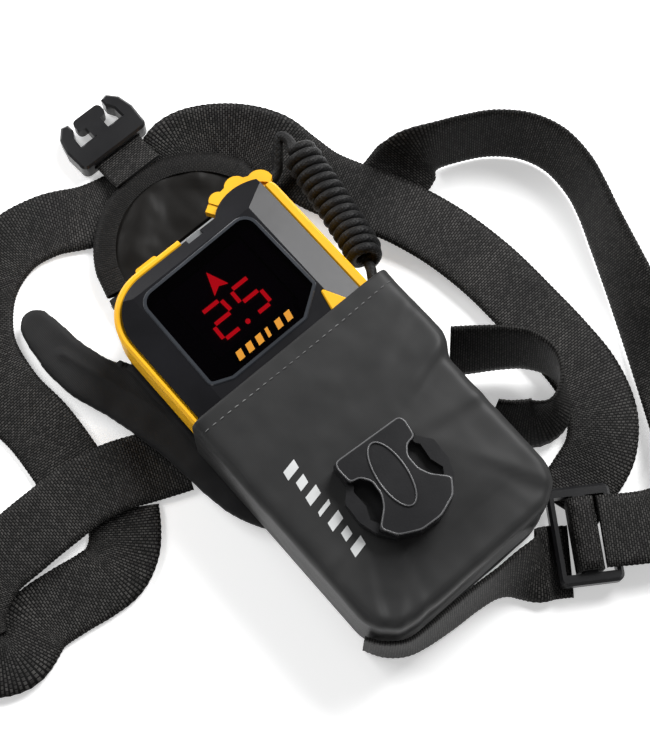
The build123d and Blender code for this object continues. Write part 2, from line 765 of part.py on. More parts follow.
def flap():
    top = HINGE_Z
    with BuildPart() as pad:
        with BuildSketch(Plane.XY.offset(top - FLAP_THICKNESS)):
            add(flap_outline(3.0))
        extrude(amount=FLAP_THICKNESS - 0.6)
    finish(pad, "flap_pad")
    with BuildPart() as lining:
        with BuildSketch(Plane.XY.offset(top - 0.6)):
            add(flap_outline(3.0))
        extrude(amount=0.6)
    finish(lining, "flap_lining")
    with BuildPart() as binding:
        with BuildSketch(Plane.XY.offset(top - FLAP_THICKNESS)):
            add(flap_outline())
            add(flap_outline(3.0), mode=Mode.SUBTRACT)
        extrude(amount=FLAP_THICKNESS)
    finish(binding, "flap_binding")


def buckle_tab():
    """Short webbing from the flap's binding down into the plug's slot."""
    x, y, z = TAB_HINGE
    profile = [(0.1, -0.1), (5.0, -1.3), (11.1, -1.9), (11.1, -3.7), (5.0, -3.0), (0.1, -1.9)]
    with BuildPart() as tab:
        with BuildSketch(Plane.YZ.offset(x - 10.0)):
            with BuildLine():
                Polyline(*[(y + along, z + up) for along, up in profile], close=True)
            make_face()
        extrude(amount=20.0)
    finish(tab, "buckle_tab")


def buckle_plug():
    """Male half of the buckle: base with a webbing slot, centre guide and two prongs."""
    x, y, z = TAB_HINGE
    start, low, high = y + 11.5, 0.6, 7.6
    with BuildPart() as plug:
        with BuildSketch(Plane.XY.offset(low)):
            with Locations((x, start + 4.4)):
                RectangleRounded(29.6, 8.8, 2.6)
            with Locations((x, start + 12.0)):
                Rectangle(6.4, 10.0)
            with Locations((x, start + 16.4)):
                RectangleRounded(12.6, 5.2, 2.0)
            for side in (-1, 1):
                with BuildLine():
                    Polyline((x + side * 14.8, start + 4), (x + side * 15.2, start + 10),
                             (x + side * 13.8, start + 16), (x + side * 10.6, start + 19.6),
                             (x + side * 7.8, start + 19.0), (x + side * 7.6, start + 16.0),
                             (x + side * 9.4, start + 13.0), (x + side * 9.8, start + 4),
                             close=True)
                make_face()
        extrude(amount=high - low)
        with Locations((x, start + 1.0, low + 3.4)):
            Box(21.0, 6.0, 2.4, mode=Mode.SUBTRACT)                # slot for the tab
        chamfer(plug.faces().sort_by(Axis.Z)[-1].outer_wire().edges(), 0.8)
        for side in (-1, 1):                                       # thin the guide
            with Locations((x, start + 14.0, (low + high) / 2 + side * 3.3)):
                Box(14.6, 10.4, 1.6, mode=Mode.SUBTRACT)
    finish(plug, "buckle_plug")


# ---------------------------------------------------------------- webbing
def spline_value(a, b, c, d, t):
    """Point of a smooth curve between b and c."""
    return 0.5 * (2 * b + (c - a) * t + (2 * a - 5 * b + 4 * c - d) * t * t
                  + (3 * b - a - 3 * c + d) * t * t * t)


def smooth(stations, steps):
    """More stations on the smooth curve through the given ones."""
    rows = [stations[0], *stations, stations[-1]]
    out = []
    for i in range(1, len(rows) - 2):
        for k in range(steps):
            out.append(tuple(spline_value(*p, k / steps) for p in zip(*rows[i - 1:i + 3])))
    return [*out, stations[-1]]


def ribbon_planes(stations, steps=2):
    """Section planes of a strap. A station is x, y, z and lean in degrees.

    Lean raises the strap's left edge, as seen along its run."""
    rows = smooth(stations, steps)
    planes = []
    for i, (x, y, z, lean) in enumerate(rows):
        before, after = rows[max(i - 1, 0)], rows[min(i + 1, len(rows) - 1)]
        run = Vector(after[0] - before[0], after[1] - before[1], after[2] - before[2])
        run = run.normalized()
        left = Vector(0, 0, 1).cross(run).normalized()
        up = run.cross(left)
        a = radians(lean)
        planes.append(Plane((x, y, z), x_dir=left * cos(a) + up * sin(a), z_dir=run))
    return planes


def strap(label, stations, width=WEBBING_WIDTH, thickness=WEBBING_THICKNESS, steps=2):
    with BuildPart() as ribbon:
        for plane in ribbon_planes(stations, steps):
            with BuildSketch(plane):
                Rectangle(width, thickness)
        loft(ruled=True)
    finish(ribbon, label)


SHOULDER_STRAP = [
    (-78.5, 22, 1.3, 0), (-77, 34, 1.3, 0), (-76, 50, 1.3, 0), (-77, 68, 1.3, 0),
    (-73, 88, 1.3, 0), (-60, 104, 1.3, 0), (-43, 111, 1.3, 0), (-27, 109, 1.3, 0),
    (-12, 101.5, 1.3, 0), (4, 98, 1.3, 0), (19, 99.0, 1.3, 0), (29, 100.6, 3.6, 12),
    (38, 96.5, 5.2, 20), (47.5, 88.4, 5.8, 22), (54.5, 79.0, 4.8, 15), (56.6, 69.0, 4.4, 8),
    (59.0, 57.0, 4.6, 2), (63.6, 45.7, 5.4, 0), (69.0, 34.5, 6.4, 0), (74.4, 23.0, 5.4, 0),
    (79.2, 7.4, 4.6, 0), (81.8, -11.0, 4.6, 0), (82.2, -30.0, 4.6, 0), (82.0, -47.0, 4.6, 0),
    (80.6, -62.0, 4.4, 0), (75.4, -75.5, 4.0, 0), (66.0, -84.6, 3.2, 0), (55.0, -88.4, 1.8, 0),
    (46.0, -90.5, 1.3, 0), (41.8, -91.6, 1.3, 0),
]
SIDE_STRAP = [
    (70.0, 37.4, 1.3, 0), (76.0, 38.6, 1.7, 4), (81.5, 39.2, 3.6, 12), (86.0, 39.0, 7.9, 34),
    (90.5, 38.4, 11.2, 56), (96.3, 36.4, 12.9, 72), (106.8, 31.8, 12.9, 75),
    (116.5, 26.0, 12.9, 75), (124.8, 17.1, 12.9, 75), (129.0, 6.2, 12.9, 75),
    (128.6, -6.0, 12.9, 75), (125.6, -16.4, 12.9, 75), (121.0, -28.0, 12.8, 72),
    (112.6, -50.0, 12.0, 62), (102.5, -75.0, 11.4, 46), (93.0, -96.0, 12.0, 24),
    (84.0, -111.0, 12.0, 8), (72.5, -118.8, 11.2, 2), (60.0, -116.6, 10.5, 0),
    (44.2, -106.0, 10.4, 0),
]
WAIST_STRAP = [
    (-44.5, 9.0, 1.1, 0), (-50.0, 11.3, 1.1, 0), (-57.8, 14.6, 2.1, -4), (-67, 18, 4.2, -1),
    (-78, 20.5, 4.8, 0), (-91, 21, 4.8, 0), (-105, 21, 4.8, 0), (-121, 20, 4.8, 0),
    (-135, 12, 4.4, 0), (-140, 0, 3.6, 0), (-131, -7.4, 2.4, 0), (-118.2, -3.6, 1.4, 0),
    (-106.3, -4.5, 1.3, 0), (-96.0, -6.2, 1.2, 0), (-88.0, -6.4, 1.1, 0),
    (-81.0, -3.0, 1.0, 0), (-76.0, 2.4, 1.0, 0), (-72.2, 8.2, 1.0, 0),
]
KEEPER_STRAP = [
    (47.2, -26.5, 16.0, 66), (53.5, -31.0, 16.0, 68), (61.0, -36.8, 16.5, 72),
    (67.5, -43.6, 17.5, 78), (70.4, -52.0, 18.6, 88), (68.0, -60.4, 18.4, 100),
    (61.4, -65.6, 16.0, 110), (53.4, -64.4, 13.2, 117), (47.2, -58.4, 12.8, 108),
    (43.6, -52.0, 12.9, 98),
]
BOTTOM_STRAP = [
    (-41.5, -82.0, 12.9, 90), (-37.8, -87.8, 12.9, 88), (-32.0, -92.2, 12.9, 86),
    (-25.0, -93.8, 12.9, 83), (-14.0, -94.6, 12.9, 80), (-3.0, -95.2, 12.8, 79),
    (6.0, -96.4, 12.7, 76), (13.0, -98.4, 12.0, 62), (19.0, -100.6, 9.6, 42),
    (24.0, -101.6, 5.0, 18), (28.5, -104.0, 1.8, 3), (32.0, -106.6, 1.3, 0),
]


def straps():
    strap("shoulder_strap", SHOULDER_STRAP)
    strap("side_strap", SIDE_STRAP)
    strap("waist_strap", WAIST_STRAP)
    strap("keeper_strap", KEEPER_STRAP)
    strap("bottom_strap", BOTTOM_STRAP)


def wing_pad():
    """Padded wing of the back panel, out to the shoulder on the left."""
    with BuildPart() as wing:
        with BuildSketch(Plane.XY.offset(2.9)):
            with BuildLine():
                Spline((-38.2, 45.0), (-43.5, 56.0), (-46.0, 66.0), (-47.0, 74.0),
                       (-48.5, 82.0))
                Spline((-48.5, 82.0), (-53.5, 85.5), (-59.0, 82.0))
                Spline((-59.0, 82.0), (-61.0, 70.0), (-60.5, 54.0), (-57.0, 42.0),
                       (-53.0, 28.0), (-49.5, 12.0), (-48.0, -4.0), (-46.0, -16.0),
                       (-38.2, -32.0))
                Line((-38.2, -32.0), (-38.2, 45.0))
            make_face()
        extrude(amount=3.0)
        chamfer(wing.faces().sort_by(Axis.Z)[-1].outer_wire().edges(), 1.1)
    finish(wing, "wing_pad")


LOCK_PLANE = Plane((39.8, -103.0, 4.6), x_dir=(0.56, 0.83, 0), z_dir=(0, 0, 1))


def ladder_lock():
    """Strap adjuster: two side rails joined by three bars."""
    with BuildPart() as lock:
        with BuildSketch(LOCK_PLANE):
            RectangleRounded(34.0, 22.0, 2.5)
            for y in (-5.4, 5.4):
                with Locations((0, y)):
                    Rectangle(26.8, 6.4, mode=Mode.SUBTRACT)
        extrude(amount=4.6)
        chamfer(lock.faces().sort_by(Axis.Z)[-1].outer_wire().edges(), 1.0)
    finish(lock, "ladder_lock")

    with BuildPart() as wrap:
        with BuildSketch(Plane(LOCK_PLANE.origin, x_dir=LOCK_PLANE.y_dir,
                               z_dir=LOCK_PLANE.x_dir).offset(-12.6)):
            with Locations((0, 2.3)):
                RectangleRounded(9.2, 9.2, 2.4)
                RectangleRounded(5.2, 5.2, 0.6, mode=Mode.SUBTRACT)
        extrude(amount=25.2)
    finish(wrap, "lock_webbing")


# ---------------------------------------------------------------- coiled tether
TETHER_UPPER = [(45.0, 66.6, 8.0), (48.4, 66.6, 8.0), (52.4, 71.8, 10.4),
                (57.6, 77.0, 13.4), (58.64, 71.0, 14.2), (58.0, 67.0, 14.2)]
TETHER_COILED = [(58.0, 67.0, 14.2), (56.4, 57.0, 14.2), (54.6, 47.0, 14.6),
                 (52.6, 37.0, 15.8), (50.4, 26.6, 18.0), (46.8, 16.4, 21.0)]
TETHER_LOWER = [(46.8, 16.4, 21.0), (45.7, 13.28, 21.92), (42.0, 8.0, 22.2),
                (41.2, 0.0, 21.4), (41.4, -10.6, 18.8), (40.9, -16.2, 17.4)]


def arc_radii(points):
    """Arc at each corner of a cord's route: as large as its two runs allow."""
    radii = []
    for before, here, after in zip(points, points[1:], points[2:]):
        first, second = Vector(here) - Vector(before), Vector(after) - Vector(here)
        turn = radians(first.get_angle(second))
        radii.append(0.45 * min(first.length, second.length) / tan(turn / 2))
    return radii


def tether(label, points, diameter):
    """One closed tube of straight runs joined by tangent arcs."""
    radii = arc_radii(points)
    with BuildPart() as tube:
        with BuildLine() as route:
            FilletPolyline(*points, radius=radii)
        start = Vector(points[1]) - Vector(points[0])
        with BuildSketch(Plane(points[0], z_dir=start)):
            Circle(diameter / 2)
        sweep()
    finish(tube, label)
    length = sum(edge.length for edge in route.edges())
    print(label, "length", round(length, 1), "volume", round(tube.part.volume),
          "of", round(pi * diameter**2 / 4 * length), "radii", [round(r, 1) for r in radii])


def tether_loop():
    """Webbing loop on the panel's corner that the tether is tied to."""
    with BuildPart() as loop:
        with Locations((42.2, 66.6, 7.6)):
            Box(5.6, 5.4, 3.2)
        chamfer(loop.edges().filter_by(Axis.Y), 0.6)
    finish(loop, "tether_loop")


if __name__ == "__main__":
    rear_housing()
    front_housing()
    bumper_rim()
    case_seal()
    case_screws()
    display()
    led_segments()
    mode_lever()
    lever_lock_tab()
    lever_shaft()
    option_button()
    dome_switch()
    status_light_pipe()
    detent_spring()
    main_board()
    antenna("antenna_x", (-28.0, 0.0, 27.2), (0, 1, 0), 66.0, 48.0)
    antenna("antenna_y", (0.0, -46.0, 27.2), (1, 0, 0), 46.0, 30.0)
    antenna_z()
    speaker()
    battery_cells()
    battery_contacts()
    battery_springs()
    battery_door()
    battery_latch()
    lanyard_pin()
    pouch_shell()
    back_panel()
    buckle_socket()
    flap()
    buckle_tab()
    buckle_plug()
    straps()
    wing_pad()
    ladder_lock()
    tether_loop()
    tether("tether_upper", TETHER_UPPER, TETHER_STRAND)
    tether("tether_coil", TETHER_COILED, TETHER_COIL)
    tether("tether_lower", TETHER_LOWER, TETHER_STRAND)
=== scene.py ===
import json
from math import atan2, cos, hypot, pi, radians, sin, sqrt

import bmesh
import bpy
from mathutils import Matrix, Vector, noise

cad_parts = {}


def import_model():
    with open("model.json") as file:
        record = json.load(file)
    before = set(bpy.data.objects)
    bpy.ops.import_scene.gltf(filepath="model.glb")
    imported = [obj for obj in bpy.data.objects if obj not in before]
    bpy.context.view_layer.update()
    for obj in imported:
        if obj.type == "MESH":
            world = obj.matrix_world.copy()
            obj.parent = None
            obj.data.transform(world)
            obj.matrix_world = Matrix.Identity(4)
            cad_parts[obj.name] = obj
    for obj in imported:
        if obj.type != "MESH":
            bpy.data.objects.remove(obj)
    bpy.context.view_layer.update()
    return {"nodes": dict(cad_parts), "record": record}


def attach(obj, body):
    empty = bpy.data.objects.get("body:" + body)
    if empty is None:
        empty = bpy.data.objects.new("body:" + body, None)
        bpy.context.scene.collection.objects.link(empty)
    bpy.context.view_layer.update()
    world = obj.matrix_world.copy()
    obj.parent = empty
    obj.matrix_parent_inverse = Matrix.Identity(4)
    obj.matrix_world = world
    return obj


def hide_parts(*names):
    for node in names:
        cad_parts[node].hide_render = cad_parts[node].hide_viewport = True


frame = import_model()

NODES = frame["nodes"]
MM = 0.001
scene = bpy.context.scene


# ---------------------------------------------------------------- camera
FOCAL_LENGTH, SENSOR_WIDTH = 76.8, 36.0
CAMERA_PLACE = Vector((-102.64, -132.79, 539.67))
CAMERA_AIM = Vector((4.66, -9.49, 36.6))


def camera():
    data = bpy.data.cameras.new("camera")
    data.lens = FOCAL_LENGTH
    data.sensor_width = SENSOR_WIDTH
    data.clip_end = 20.0
    eye = bpy.data.objects.new("camera", data)
    scene.collection.objects.link(eye)
    place, aim = CAMERA_PLACE * MM, CAMERA_AIM * MM
    eye.location = place
    eye.rotation_euler = (aim - place).to_track_quat("-Z", "Y").to_euler()
    scene.camera = eye
    scene.render.resolution_x, scene.render.resolution_y = 650, 750


camera()


# ---------------------------------------------------------------- materials
class Shader:
    """Short spelling for building a node material."""

    def __init__(self, name):
        self.material = bpy.data.materials.new(name)
        self.material.use_nodes = True
        self.tree = self.material.node_tree
        self.surface = self.tree.nodes["Principled BSDF"]

    def node(self, kind, **inputs):
        made = self.tree.nodes.new(kind)
        for key, value in inputs.items():
            made.inputs[key.replace("_", " ")].default_value = value
        return made

    def link(self, a, b):
        self.tree.links.new(a, b)

    def set(self, **inputs):
        for key, value in inputs.items():
            self.surface.inputs[key.replace("_", " ")].default_value = value

    def coords(self, kind="Object"):
        return self.node("ShaderNodeTexCoord").outputs[kind]

    def noise(self, scale, detail, rough=0.55):
        tex = self.node("ShaderNodeTexNoise", Scale=scale, Detail=detail, Roughness=rough)
        self.link(self.coords(), tex.inputs["Vector"])
        return tex.outputs["Fac"]

    def ramp(self, fac, low, high):
        ramp = self.node("ShaderNodeValToRGB")
        first, last = ramp.color_ramp.elements
        first.position, last.position = 0.35, 0.65
        first.color, last.color = (*low, 1.0), (*high, 1.0)
        self.link(fac, ramp.inputs["Fac"])
        return ramp.outputs["Color"]

    def bump(self, height, strength, distance):
        bump = self.node("ShaderNodeBump", Strength=strength, Distance=distance)
        self.link(height, bump.inputs["Height"])
        self.link(bump.outputs["Normal"], self.surface.inputs["Normal"])


def plastic(name, low, high, rough, grain=900.0, strength=0.06, coat=0.0, wear=0.05,
            shine=0.35):
    """Moulded plastic: faint colour patches, uneven gloss and a fine grain."""
    s = Shader(name)
    s.set(Roughness=rough, Coat_Weight=coat, Coat_Roughness=0.12, Specular_IOR_Level=shine)
    s.link(s.ramp(s.noise(38.0, 4.0), low, high), s.surface.inputs["Base Color"])
    rub = s.noise(160.0, 5.0, 0.7)
    spread = s.node("ShaderNodeMapRange")
    spread.inputs["To Min"].default_value = rough - wear
    spread.inputs["To Max"].default_value = rough + wear
    s.link(rub, spread.inputs["Value"])
    s.link(spread.outputs["Result"], s.surface.inputs["Roughness"])
    s.bump(s.noise(grain, 2.0), strength, 0.0002)
    return s.material


def metal(name, colour, rough):
    """Metal with a fine grain."""
    s = Shader(name)
    s.set(Metallic=1.0, Roughness=rough)
    s.link(s.ramp(s.noise(300.0, 5.0), [c * 0.85 for c in colour], colour),
           s.surface.inputs["Base Color"])
    s.bump(s.noise(1400.0, 2.0), 0.08, 0.0001)
    return s.material


def cloth(name, low, high, rough, pitch, sheen, strength):
    """Woven cloth; pitch is the distance between its threads in metres."""
    s = Shader(name)
    s.set(Roughness=rough, Sheen_Weight=sheen, Sheen_Roughness=0.5,
          Specular_IOR_Level=0.16)
    place = s.coords()
    waves = []
    for direction in ("X", "Y", "Z"):
        wave = s.node("ShaderNodeTexWave", Scale=0.314 / pitch, Distortion=0.6)
        wave.bands_direction = direction
        s.link(place, wave.inputs["Vector"])
        waves.append(wave.outputs["Fac"])
    crossed = s.node("ShaderNodeMath")
    crossed.operation = "MULTIPLY"
    s.link(waves[0], crossed.inputs[0])
    s.link(waves[1], crossed.inputs[1])
    weave = s.node("ShaderNodeMath")
    weave.operation = "ADD"
    s.link(crossed.outputs[0], weave.inputs[0])
    s.link(waves[2], weave.inputs[1])
    s.link(s.ramp(s.noise(26.0, 5.0), low, high), s.surface.inputs["Base Color"])
    s.bump(weave.outputs[0], strength, pitch * 0.35)
    return s.material


def webbing(name, thread, gap):
    """Ribbed webbing; the UV map runs in millimetres across and along the band."""
    s = Shader(name)
    s.set(Roughness=0.55, Sheen_Weight=0.0175, Sheen_Roughness=0.45,
          Specular_IOR_Level=0.14)
    brick = s.node("ShaderNodeTexBrick", Scale=1.0)
    brick.inputs["Color1"].default_value = (*thread, 1)
    brick.inputs["Color2"].default_value = (*[c * 0.3 for c in thread], 1)
    brick.inputs["Mortar"].default_value = (*gap, 1)
    brick.inputs["Mortar Size"].default_value = 0.28
    brick.inputs["Mortar Smooth"].default_value = 0.6
    brick.inputs["Brick Width"].default_value = 1.5
    brick.inputs["Row Height"].default_value = 0.85
    s.link(s.coords("UV"), brick.inputs["Vector"])
    patch = s.ramp(s.noise(40.0, 4.0), (0.75, 0.75, 0.75), (1.25, 1.24, 1.22))
    tint = s.tree.nodes.new("ShaderNodeMix")
    tint.data_type, tint.blend_type = "RGBA", "MULTIPLY"
    tint.inputs[0].default_value = 1.0
    s.link(brick.outputs["Color"], tint.inputs[6])
    s.link(patch, tint.inputs[7])
    s.link(tint.outputs[2], s.surface.inputs["Base Color"])
    s.bump(brick.outputs["Fac"], 0.5, -0.00025)
    return s.material


def light_source(name, colour, power):
    """Material that glows evenly."""
    s = Shader(name)
    s.set(Base_Color=(*colour, 1), Emission_Color=(*colour, 1), Emission_Strength=power)
    return s.material


def glass(name):
    """Dark window: a clear reflection over a tinted see-through pane."""
    s = Shader(name)
    s.tree.nodes.remove(s.surface)
    gloss = s.node("ShaderNodeBsdfGlossy", Roughness=0.05)
    clear = s.tree.nodes.new("ShaderNodeBsdfTransparent")
    clear.inputs["Color"].default_value = (0.34, 0.26, 0.36, 1)
    edge = s.node("ShaderNodeFresnel", IOR=1.18)
    mix = s.tree.nodes.new("ShaderNodeMixShader")
    s.link(edge.outputs[0], mix.inputs[0])
    s.link(clear.outputs[0], mix.inputs[1])
    s.link(gloss.outputs[0], mix.inputs[2])
    s.link(mix.outputs[0], s.tree.nodes["Material Output"].inputs["Surface"])
    return s.material


MATERIALS = {
    "case_black": plastic("case_black", (0.006, 0.006, 0.007), (0.010, 0.010, 0.012), 0.3,
                          grain=700.0, strength=0.02, wear=0.04, shine=0.2),
    "bumper_yellow": plastic("bumper_yellow", (0.82, 0.41, 0.006), (0.88, 0.47, 0.010), 0.42,
                             grain=1200.0, strength=0.10, coat=0.1),
    "seal_rubber": plastic("seal_rubber", (0.012, 0.012, 0.012), (0.03, 0.03, 0.03), 0.8),
    "steel": metal("steel", (0.62, 0.62, 0.64), 0.3),
    "bezel_silver": plastic("bezel_silver", (0.022, 0.025, 0.030), (0.036, 0.040, 0.047), 0.24,
                            grain=1500.0, strength=0.04, coat=0.4),
    "window_glass": glass("window_glass"),
    "module_dark": plastic("module_dark", (0.004, 0.004, 0.006), (0.008, 0.008, 0.012), 0.6),
    "led_red": light_source("led_red", (1.0, 0.010, 0.014), 3.2),
    "light_pipe": plastic("light_pipe", (0.10, 0.105, 0.11), (0.20, 0.205, 0.21), 0.2,
                          strength=0.02, coat=0.5),
    "board_green": plastic("board_green", (0.015, 0.10, 0.04), (0.03, 0.16, 0.07), 0.45),
    "chip_black": plastic("chip_black", (0.02, 0.02, 0.02), (0.04, 0.04, 0.04), 0.6),
    "ferrite": plastic("ferrite", (0.07, 0.07, 0.075), (0.12, 0.12, 0.125), 0.7),
    "copper": metal("copper", (0.72, 0.36, 0.18), 0.35),
    "cell_sleeve": plastic("cell_sleeve", (0.05, 0.07, 0.12), (0.09, 0.11, 0.18), 0.3),
    "inner_plastic": plastic("inner_plastic", (0.02, 0.02, 0.02), (0.04, 0.04, 0.04), 0.5),
    "pouch_fabric": cloth("pouch_fabric", (0.020, 0.0202, 0.0205), (0.030, 0.030, 0.0302), 0.46,
                          pitch=0.0005, sheen=0.012, strength=0.10),
    "panel_fabric": cloth("panel_fabric", (0.008, 0.008, 0.0085), (0.015, 0.015, 0.0155), 0.6,
                          pitch=0.0006, sheen=0.03, strength=0.22),
    "lining_fabric": cloth("lining_fabric", (0.004, 0.0035, 0.003), (0.008, 0.0072, 0.0065), 0.4,
                           pitch=0.0005, sheen=0.01, strength=0.12),
    "binding_fabric": webbing("binding_fabric", (0.016, 0.0145, 0.0135), (0.002, 0.002, 0.002)),
    "webbing": webbing("webbing", (0.058, 0.056, 0.054), (0.0012, 0.0012, 0.0012)),
    "buckle_black": plastic("buckle_black", (0.008, 0.008, 0.009), (0.014, 0.014, 0.015), 0.3,
                            grain=1600.0, strength=0.10),
    "tether_cord": cloth("tether_cord", (0.006, 0.006, 0.0065), (0.013, 0.0128, 0.0125), 0.5,
                         pitch=0.0009, sheen=0.035, strength=0.35),
    # light grey for the thin tubes on the socket's edges: a painted highlight
    "painted_highlight_grey": plastic("painted_highlight_grey", (0.06, 0.06, 0.062), (0.13, 0.13, 0.134), 0.25,
                         strength=0.03, coat=0.2),
    "thread_grey": plastic("thread_grey", (0.10, 0.10, 0.10), (0.20, 0.20, 0.20), 0.7),
    "print_grey": plastic("print_grey", (0.52, 0.53, 0.53), (0.62, 0.63, 0.63), 0.6,
                          grain=600.0, strength=0.05),
    "print_orange": plastic("print_orange", (0.52, 0.205, 0.003), (0.60, 0.25, 0.004), 0.55),
}
for entry in frame["record"]["subparts"]:
    node = NODES[entry["node"]]
    paint = MATERIALS[entry["material_slot"]]
    for slot in node.material_slots:
        slot.material = paint


# ---------------------------------------------------------------- building helpers
def piece(name, verts, faces, slot, body, uv=None, paint=None):
    """A mesh object in millimetres that rides on a body."""
    mesh = bpy.data.meshes.new(name)
    mesh.from_pydata([Vector(v) * MM for v in verts], [], faces)
    if uv is not None:
        layer = mesh.uv_layers.new(name="UVMap")
        for loop in mesh.loops:
            layer.data[loop.index].uv = uv[loop.vertex_index]
    mesh.polygons.foreach_set("use_smooth", [True] * len(mesh.polygons))
    mesh.materials.append(MATERIALS[paint or slot])
    obj = bpy.data.objects.new(name, mesh)
    scene.collection.objects.link(obj)
    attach(obj, body)
    return obj


def catmull(a, b, c, d, t):
    """Catmull-Rom value between b and c."""
    return 0.5 * (2 * b + (c - a) * t + (2 * a - 5 * b + 4 * c - d) * t * t
                  + (3 * b - a - 3 * c + d) * t * t * t)


def fine(stations, step):
    """Stations every step millimetres along the smooth curve through the given ones."""
    rows = [stations[0], *stations, stations[-1]]
    dense, parts = [], 24
    for i in range(1, len(rows) - 2):
        for k in range(parts):
            dense.append([catmull(*p, k / parts) for p in zip(*rows[i - 1:i + 3])])
    dense.append(list(stations[-1]))
    out, carried = [dense[0]], 0.0
    for a, b in zip(dense, dense[1:]):
        run = (Vector(b[:3]) - Vector(a[:3])).length
        while carried + run >= step:
            share = (step - carried) / run
            a = [p + (q - p) * share for p, q in zip(a, b)]
            run *= 1 - share
            carried = 0.0
            out.append(a)
        carried += run
    return out


def evenly(points, step):
    """Points every step millimetres along a polyline."""
    out, carried = [points[0]], 0.0
    for a, b in zip(points, points[1:]):
        run = (b - a).length
        while carried + run >= step:
            a = a + (b - a) * ((step - carried) / run)
            run = (b - a).length
            carried = 0.0
            out.append(a)
        carried += run
    return out


def frames(rows):
    """Centre, side and up vectors at each station of a strap, whose lean is in degrees."""
    out = []
    for i, (x, y, z, lean) in enumerate(rows):
        before, after = rows[max(i - 1, 0)], rows[min(i + 1, len(rows) - 1)]
        run = (Vector(after[:3]) - Vector(before[:3])).normalized()
        left = Vector((0, 0, 1)).cross(run).normalized()
        up = run.cross(left)
        a = radians(lean)
        side = left * cos(a) + up * sin(a)
        out.append((Vector((x, y, z)), side, run.cross(side)))
    return out


WEBBING_WIDTH, TAB_WIDTH, WEBBING_THICKNESS = 25.0, 20.0, 1.6
WEBBING_RIB, TAB_RIB = 0.85, 0.5


def band(name, stations, width, step, body, replaced, ribs, edge):
    """Webbing with cross ribs through the stations, one row every step millimetres.

    Rows are in turn thicker and thinner by the share ribs; the thin ones are narrower by edge.
    """
    across, half, thin_edge = 12, width / 2, 0.55
    rows = fine(stations, step)
    verts, uv, faces = [], [], []
    for k, (centre, side, up) in enumerate(frames(rows)):
        rib = cos(pi * k)
        flat = WEBBING_THICKNESS / 2 * (1 + ribs * rib)
        wide = half - edge * (1 - rib) / 2
        for top in (1, -1):
            for j in range(across + 1):
                share = (j / across * 2 - 1) * top
                drop = flat * (thin_edge if j in (0, across) else 1.0)
                verts.append(centre + side * wide * share + up * drop * top)
                uv.append((half + half * share + 40 * (top < 0), k * step))
    ring = 2 * (across + 1)
    for k in range(len(rows) - 1):
        for j in range(ring):
            a, b = k * ring + j, k * ring + (j + 1) % ring
            faces.append((a, a + ring, b + ring, b))
    faces.append(tuple(range(ring)))
    faces.append(tuple(range((len(rows) - 1) * ring, len(rows) * ring))[::-1])
    obj = piece(name, verts, faces, "webbing", body, uv)
    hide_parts(replaced)


# ---------------------------------------------------------------- coiled tether
TETHER_UPPER = [(45.0, 66.6, 8.0), (48.4, 66.6, 8.0), (52.4, 71.8, 10.4),
                (57.6, 77.0, 13.4), (58.64, 71.0, 14.2)]
TETHER_COILED = [(58.0, 67.0, 14.2), (56.4, 57.0, 14.2), (54.6, 47.0, 14.6),
                 (52.6, 37.0, 15.8), (50.4, 26.6, 18.0), (46.8, 16.4, 21.0)]
TETHER_LOWER = [(45.7, 13.28, 21.92), (42.0, 8.0, 22.2), (41.2, 0.0, 21.4),
                (41.4, -10.6, 18.8), (40.9, -16.2, 17.4)]


def nurbs(name, points, bevel=0.0):
    """Smooth NURBS curve with the given points, in millimetres, as control points."""
    curve = bpy.data.curves.new(name, "CURVE")
    curve.dimensions = "3D"
    spline = curve.splines.new("NURBS")
    spline.points.add(len(points) - 1)
    for point, place in zip(spline.points, points):
        point.co = (*(Vector(place) * MM), 1.0)
    spline.order_u = 3
    spline.use_endpoint_u = True
    spline.resolution_u = 6
    curve.bevel_depth = bevel * MM
    curve.bevel_resolution = 4
    curve.use_fill_caps = True
    obj = bpy.data.objects.new(name, curve)
    scene.collection.objects.link(obj)
    return obj


def along(obj):
    """Points of a curve's own line, in millimetres."""
    mesh = bpy.data.meshes.new_from_object(obj)
    return [v.co / MM for v in mesh.vertices]


def line_length(obj):
    """Length of a curve's own line in metres, without its bevel."""
    depth, obj.data.bevel_depth = obj.data.bevel_depth, 0.0
    points = along(obj)
    obj.data.bevel_depth = depth
    return sum((b - a).length for a, b in zip(points, points[1:])) * MM


STRAND_RADIUS = 1.9
COIL_PITCH, COIL_RADIUS, COIL_START = 3.85, 5.1, 0.6
POINTS_PER_TURN = 14
NARROW_END = 0.55           # share of the coil's radius at its very ends


def coil_points():
    """The coil's turns: a helix round the line through TETHER_COILED."""
    guide = nurbs("tether_guide", TETHER_COILED)
    line = along(guide)
    bpy.data.objects.remove(guide)
    lengths = [0.0]
    for a, b in zip(line, line[1:]):
        lengths.append(lengths[-1] + (b - a).length)
    steps = int(lengths[-1] / COIL_PITCH * POINTS_PER_TURN)
    helix = []
    for k in range(steps + 1):
        s = lengths[-1] * k / steps
        i = max(j for j in range(len(line) - 1) if lengths[j] <= s + 1e-9)
        share = (s - lengths[i]) / max(lengths[i + 1] - lengths[i], 1e-6)
        centre = line[i].lerp(line[i + 1], min(share, 1.0))
        run = (line[i + 1] - line[i]).normalized()
        side = run.cross(Vector((0, 0, 1))).normalized()
        up = side.cross(run)
        turn = 2 * pi * k / POINTS_PER_TURN + COIL_START
        wobble = 1.0 + 0.02 * sin(k * 0.37)
        widening = min(1.0, NARROW_END + k / POINTS_PER_TURN,
                       NARROW_END + (steps - k) / POINTS_PER_TURN)
        swell = widening * COIL_RADIUS * wobble
        helix.append(centre + side * swell * cos(turn) + up * swell * sin(turn))
    return helix


